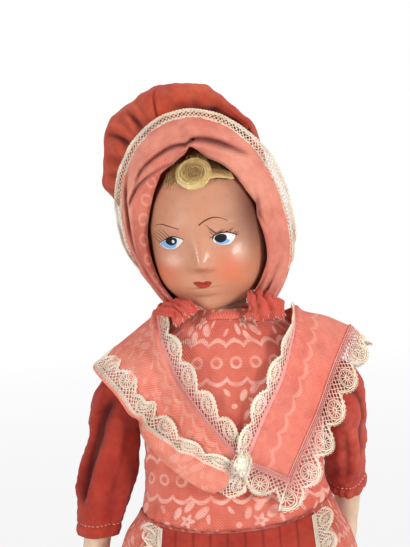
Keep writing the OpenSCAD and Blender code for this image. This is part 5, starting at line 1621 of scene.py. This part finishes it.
# Valleys of the pinch and of the pleats: angles, places outwards, depths and width
VALLEYS = (
    ([-66, -56, -48, -38, -29, -17, -7, -1], [9, 8.7, 8.5, 7, 5.6, 4.4, 3.0, 4.4],
     [0, 1.2, 1.9, 2.4, 2.6, 2.8, 3.0, 2.6], 0.85),
    ([-68, -56, -51, -42, -33, -25], [9.4, 7, 5.5, 2.5, 0.2, -2], [1.8, 2.2, 2.0, 1.5, 0.9, 0.2], 0.75),
    ([-1, 2, 17, 28, 39, 48], [4.4, 4.5, 4.5, 5.0, 6.5, 8.8], [2.6, 3.0, 3.2, 3.0, 1.9, 0], 1.3),
    ([-104, -92, -77, -64, -53], [5.2, 7.4, 10.2, 12.6, 14.6], [0.6, 1.8, 2.4, 2.2, 0.4], 0.8),
    ([-126, -112, -96, -84], [1.5, 3.0, 5.0, 6.5], [0.8, 1.4, 0.9, 0], 0.8),
    ([62, 72, 80, 90], [3.0, 1.4, 0.6, 1.6], [0, 1.2, 1.5, 0], 0.9),
    ([104, 116, 128, 139], [6.5, 5.2, 4.2, 3.6], [0, 0.9, 1.6, 1.8], 0.9),
    ([112, 122, 131, 139], [1.2, 1.6, 1.4, 1.0], [0, 0.9, 1.4, 1.6], 0.8))
# Painted shade in the valleys of the pinch and the pleats
painted_shade = 0 * out
for angles, outs, deep, wide in VALLEYS:
    off = out - np.interp(brim_angle, angles, outs)
    held = np.interp(brim_angle, [angles[0] - 3] + angles + [angles[-1] + 3], [0] + deep + [0])
    front = front - held * crease(off, wide)
    painted_shade = painted_shade + 0.29 * held * np.exp(-(off / wide) ** 2)
pleats = 0.8 * np.exp(-((np.abs(brim_angle) - 134) / 12) ** 2) * np.sin(out * 2.1)
shape = brim_place(brim_angle, out, front)
folds = 0.5 * swell(shape, 15, 101) + 0.22 * swell(shape, 6, 102)
face_side = brim_place(brim_angle, out, front + pleats + folds)
# The lining goes back from the inner edge to the side of the head and returns to the outer edge
edge_y = (front + pleats + folds)[:, -1:]
lining = [(inner + 0.3, edge_y + 0.7), (inner + 0.8, edge_y + 2.2), (inner + 1.6, 0 * inner - 6.0),
          (np.maximum(inner, 0) + 2.6, 0 * inner - 3.0), (np.maximum(inner, 0) + 2.4, 0 * inner + 0.5),
          (0 * inner - 1.0, 0 * inner + 3.2),
          (-np.interp(np.abs(brim_angle), [30, 60], [1.8, 6.0]), 0 * inner + 4.6),
          (mix(-1.8, reach, 0.2), 0 * inner + 5.2), (mix(-1.8, reach, 0.65), 0 * inner + 1.6),
          (reach - 0.8, 0 * inner - 1.9)]
lining = np.stack([brim_place(brim_angle, o, y)[:, 0] for o, y in lining], 1)
section = np.concatenate([face_side, lining], 1)
steps = np.linalg.norm(np.diff(np.concatenate([section, section[:, :1]], 1), axis=1), axis=-1).mean(0)
lie = np.stack(np.broadcast_arrays(31.5 * 1.15 * np.radians(brim_angle),
                                   np.concatenate([[0], np.cumsum(steps)])[None, :]), -1).copy()
lie[..., 1] += HALF_ROW - lie[101, 64, 1]
lie[..., 0] += 1.6


def brim_print(tree, lay, place, tone):
    """The facing turned in along one side of the face still shows its print; the rest has faded plain."""
    shown = marked(tree, "facing")
    made = add_group(tree, printing, Place=lay)
    tone = blend_colour(tree, shown * 0.55, tone, colour(206, 88, 68))
    return blend_colour(tree, Field(tree, made.outputs["Rings"]) * (shown * 0.38), tone,
                        colour(248, 184, 166))


faded_cotton = cotton("faded_cotton", colour(216, 116, 98), colour(242, 162, 138), fade=0.5, pitch=0.95,
                      slant=1.0, relief=0.2, pattern=brim_print)
brim = cloth_piece("bonnet_brim_cloth", faded_cotton, on_head(section), lie, wrap=True, closed=True,
                   flip=True)
facing_edge = np.interp(brim_angle, [-139, -100, -68, -56, -42, -25], [5, 6, 9, 7, 2.5, -2])
facing_side = ease((-brim_angle - 34) / 14)
shown = facing_side * ease((facing_edge - out) / 1.5)
shown = np.concatenate([shown, np.repeat(facing_side, lining.shape[1], 1)], 1)
# Painted shade over the lining inside the bonnet, darkening further along it from the inner edge
shade = np.repeat(np.linspace(0.5, 0.95, lining.shape[1])[None, :], len(brim_angle), 0)
mark(brim, "facing", shown)
mark(brim, "painted_shade", np.clip(np.concatenate([painted_shade, shade], 1), 0, 0.95))
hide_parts("bonnet_brim")
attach(brim, "head")

# Bonnet lace
# A narrower cream lace of plain net between firm edges, sewn along the brim's rear edge so that it lies
# against the crown and stands past the brim at the sides.
braid = []
for rail, wave in ((0.6, 0.0), (2.2, 1.0), (9.6, 2.0), (11.6, 3.0)):
    along = np.linspace(0, LACE_REPEAT, 25)
    braid.append((np.stack([along, rail + 0.45 * np.sin(along * 2 * np.pi / 5 + wave)], -1), 0.5, 0.1))
for slope in (0.55, -0.55):
    for start in np.arange(0, LACE_REPEAT, 3.0):
        across = np.linspace(1.2, 11.4, 9)
        braid.append((np.stack([start + slope * (across - 6) + 0.3 * np.sin(across + start), across], -1),
                      0.36, 0.4 * np.sign(slope)))
for k in range(7):
    turn = np.linspace(0, 2 * np.pi, 7)
    braid.append((np.stack([LACE_REPEAT * (k + 0.5) / 7 + 0.8 * np.cos(turn), 12.0 + 0.9 * np.sin(turn)], -1),
                  0.34, 0.0))
lace_angle = np.linspace(-108, 117, 240)
edge_reach = np.interp(lace_angle, brim_angle[:, 0], reach[:, 0])
wide = np.interp(lace_angle, [-108, -96, -60, 0, 30, 55, 75, 105, 117],
                 [0.7, 2.6, 3.7, 3.9, 4.2, 5.2, 4.6, 2.6, 0.7])
foot = on_head(brim_place(lace_angle, edge_reach - 1.2, np.full(240, -4.2)))
tip = on_head(brim_place(lace_angle, edge_reach - 1.2 + wide,
                         np.interp(lace_angle, [-124, 0, 124], [-4.6, -4.2, -2.6])))
bonnet_lace = lace_strip("bonnet_lace_strip", foot, tip, repeat=9.0, width=5.0, ripple=1.6, seed=29,
                         threads=braid)
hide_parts("bonnet_lace")
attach(bonnet_lace, "head")

# Bonnet crown
# A round of red cotton gathered into the brim, so that it stands up behind it as a puffed cap with deep
# folds at the gathers. It hangs over to one side, and a seam runs up its front.
turn = round_angles(360)[None, :]
degrees = np.degrees(turn)
# How far the crown's rim and its fullest edge lie from its middle, by the angle round it
RIM = ([0, 11, 25, 35, 49, 63, 76, 86, 97, 109, 124, 137, 159, 170, 182, 204, 241, 270, 300, 340, 360],
       [36, 36, 35, 34.5, 33.5, 33.5, 34, 34.5, 34, 33, 31.5, 30, 27.5, 27.5, 28.5, 30, 36, 39, 38, 36, 36])
FULL = ([0, 15, 27, 34, 40, 52, 61, 68, 76, 85, 94, 100, 113, 126, 131, 136, 143, 153, 166, 173, 178, 184,
         195, 204, 216, 230, 241, 255, 270, 285, 300, 315, 330, 345, 360],
        [37.5, 37.8, 38.9, 41, 43.4, 43.9, 45.5, 46.6, 48.4, 47.5, 47.6, 48.8, 49.2, 48.9, 48.2, 46.8, 44.4,
         42, 40.2, 38, 34.5, 32.3, 32, 33.5, 36, 38.5, 41, 43, 44, 44, 43, 41, 40, 38.5, 37.5])
rim_far, far = np.interp(degrees, *RIM), np.interp(degrees, *FULL)
far[0] = np.convolve(np.pad(far[0], 3, "wrap"), np.ones(7) / 7, "valid")
rim_far = np.minimum(rim_far, far - 1.0)
rows = np.concatenate([np.linspace(0, 1, 44)[:-1], np.linspace(1, 2, 44)[:-1]])[:, None]
face_way, back_way = np.clip(rows, 0, 1), np.clip(rows - 1, 0, 0.985)
cupped = ease((degrees - 31) / 8) * ease((97 - degrees) / 9)
convex, concave = np.sin(np.pi / 2 * face_way) ** 0.8, face_way ** 1.15
away = mix(rim_far, far, mix(convex, concave, cupped)) * np.cos(np.pi / 2 * back_way) ** 0.9
depth = -2.2 + 11.2 * (1 - np.cos(np.pi / 2 * face_way)) + 35 * np.sin(np.pi / 2 * back_way)
depth = (depth + cupped * (6.5 * np.exp(-((face_way - 0.3) / 0.2) ** 2)
                           - 4.0 * np.exp(-((rows - 0.92) / 0.22) ** 2)))
# Painted shade in the recess under the fold on the cupped side and along the gathers
painted_shade = 0.55 * cupped * np.exp(-((face_way - 0.28) / 0.24) ** 2)
push = 0 * away
# Gathers: angle, lean, depth, width and length
GATHERS = (
    (103, -3, 1.5, 0.6, 0.8), (116, 6, 3.0, 1.5, 0.6), (110, 3, 1.0, 1.6, 0.9), (131, 9, 3.2, 1.4, 0.75),
    (124, 2, 0.9, 2.0, 1.0), (146, 6, 1.4, 1.8, 0.6), (158, 4, 1.6, 1.6, 0.5), (36, 3, 1.9, 1.2, 0.9),
    (68, -8, 1.2, 2.4, 0.8), (52, -4, 0.8, 2.0, 0.7), (84, 2, 0.8, 1.6, 0.5), (172, 2, 1.4, 2.0, 0.8),
    (190, 0, 1.6, 2.4, 0.9), (208, 3, 1.2, 2.2, 0.9), (226, -3, 1.6, 2.6, 1.0), (246, 2, 1.2, 2.2, 0.9),
    (264, -2, 1.6, 2.4, 1.0), (282, 3, 1.3, 2.2, 0.9), (302, -2, 1.5, 2.4, 1.0), (322, 2, 1.2, 2.2, 0.9),
    (344, -2, 1.5, 2.4, 0.9), (4, 2, 1.3, 2.2, 0.8), (20, 2, 1.2, 2.0, 0.7))
for at, lean, strength, wide, length in GATHERS:
    off = np.radians((degrees - at - lean * face_way + 180) % 360 - 180) * away
    held = strength * np.exp(-(rows / length) ** 4) * (0.45 + 0.55 * ease(rows / 0.15))
    push = push + held * crease(off, wide)
    painted_shade = painted_shade + 0.26 * held * np.exp(-(off / wide) ** 2)
centre_line = np.stack([-8 + away * np.cos(turn), depth + 0 * turn, 52.5 + away * np.sin(turn)], -1)
push = push + (1.2 * swell(centre_line, 26, 111) + 0.5 * swell(centre_line, 9, 112)) * ease(rows / 0.3)
facing = np.cross(np.gradient(centre_line, axis=0), np.roll(centre_line, -1, 1) - np.roll(centre_line, 1, 1))
crown_grid = on_head(centre_line + push[..., None] * unit(facing))
crown_cotton = cotton("crown_cotton", colour(172, 50, 30), colour(206, 96, 66), fade=0.5, pitch=0.8,
                      slant=0.5, relief=0.15)
crown = cloth_piece("bonnet_crown_cloth", crown_cotton, crown_grid, wrap=True, closed=True)
mark(crown, "painted_shade", np.clip(painted_shade, 0, 0.85))
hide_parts("bonnet_crown")
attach(crown, "head")

# Bonnet ties
# The gathered ends of the brim, drawn together in a few stitches and cut short under the jaw, with
# frayed ends.
tie_cotton = cotton("tie_cotton", colour(208, 78, 64), colour(234, 118, 100), fade=0.45, pitch=0.95,
                    slant=1.0, relief=0.2)
# For each side: the sign of its x and the route of the tie end
TIES = {"left": (1, [(20.4, -11, 5.4), (21.6, -16.5, 4.6), (23.4, -20.2, 1.2), (23.2, -22.2, -4.4)]),
        "right": (-1, [(-20.4, -11, 5.4), (-20.2, -16.5, 5.0), (-14, -21.8, 4.4), (-10.6, -23.6, 0.2)])}
for side, (sign, route) in TIES.items():
    path = smooth_path(route, 12)
    run = np.gradient(path, axis=0)
    run /= np.linalg.norm(run, axis=1, keepdims=True)
    lie_way = np.array([1, -0.4 * sign, -0.35 * sign])
    flat_way = lie_way - run * (run @ lie_way)[:, None]
    flat_way /= np.linalg.norm(flat_way, axis=1, keepdims=True)
    thick_way = np.cross(run, flat_way)
    turn = round_angles(72)[None, :, None]
    t = np.linspace(0, 1, len(path))[:, None, None]
    wide = ((9.2 if sign > 0 else 6.4) * mix(0.6 if sign > 0 else 0.85, 1, ease(t))
            * (1 + 0.08 * np.sin(9 * t + sign)))
    thick = 1.8 * mix(1.2, 0.8, t) * (1 + 0.5 * np.cos(11 * turn + 3 * t) * np.abs(np.sin(turn)))
    grid = path[:, None] + flat_way[:, None] * wide * np.cos(turn) + thick_way[:, None] * thick * np.sin(turn)
    grid += 0.45 * swell(grid, 5, 121 + sign)[..., None]
    shown_grid = on_head(grid)
    tie = cloth_piece("tie_end_" + side, tie_cotton, shown_grid, wrap=True, closed=True)
    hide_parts("bonnet_tie_" + side)
    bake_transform(tie)
    dice = np.random.default_rng(130 + sign)
    frays = []
    for _ in range(70):
        row, column = dice.integers(len(path) - 8, len(path)), dice.integers(0, 72)
        start = grid[row, column]
        way = unit(run[-1] + 0.5 * flat_way[-1] * math.cos(round_angles(72)[column])
                   + 0.35 * dice.normal(size=3))
        t = np.linspace(-0.3, dice.uniform(0.5, 1.5), 6)[:, None]
        thread = on_head(start + way * t + 0.1 * np.sin(4 * t) * thick_way[-1])
        frays.append((thread, HEAD_TURN @ thick_way[-1] + 0 * path[:6], 0.07))
    fray = thread_piece("tie_fray_" + side, lace_thread, frays)
    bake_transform(fray)
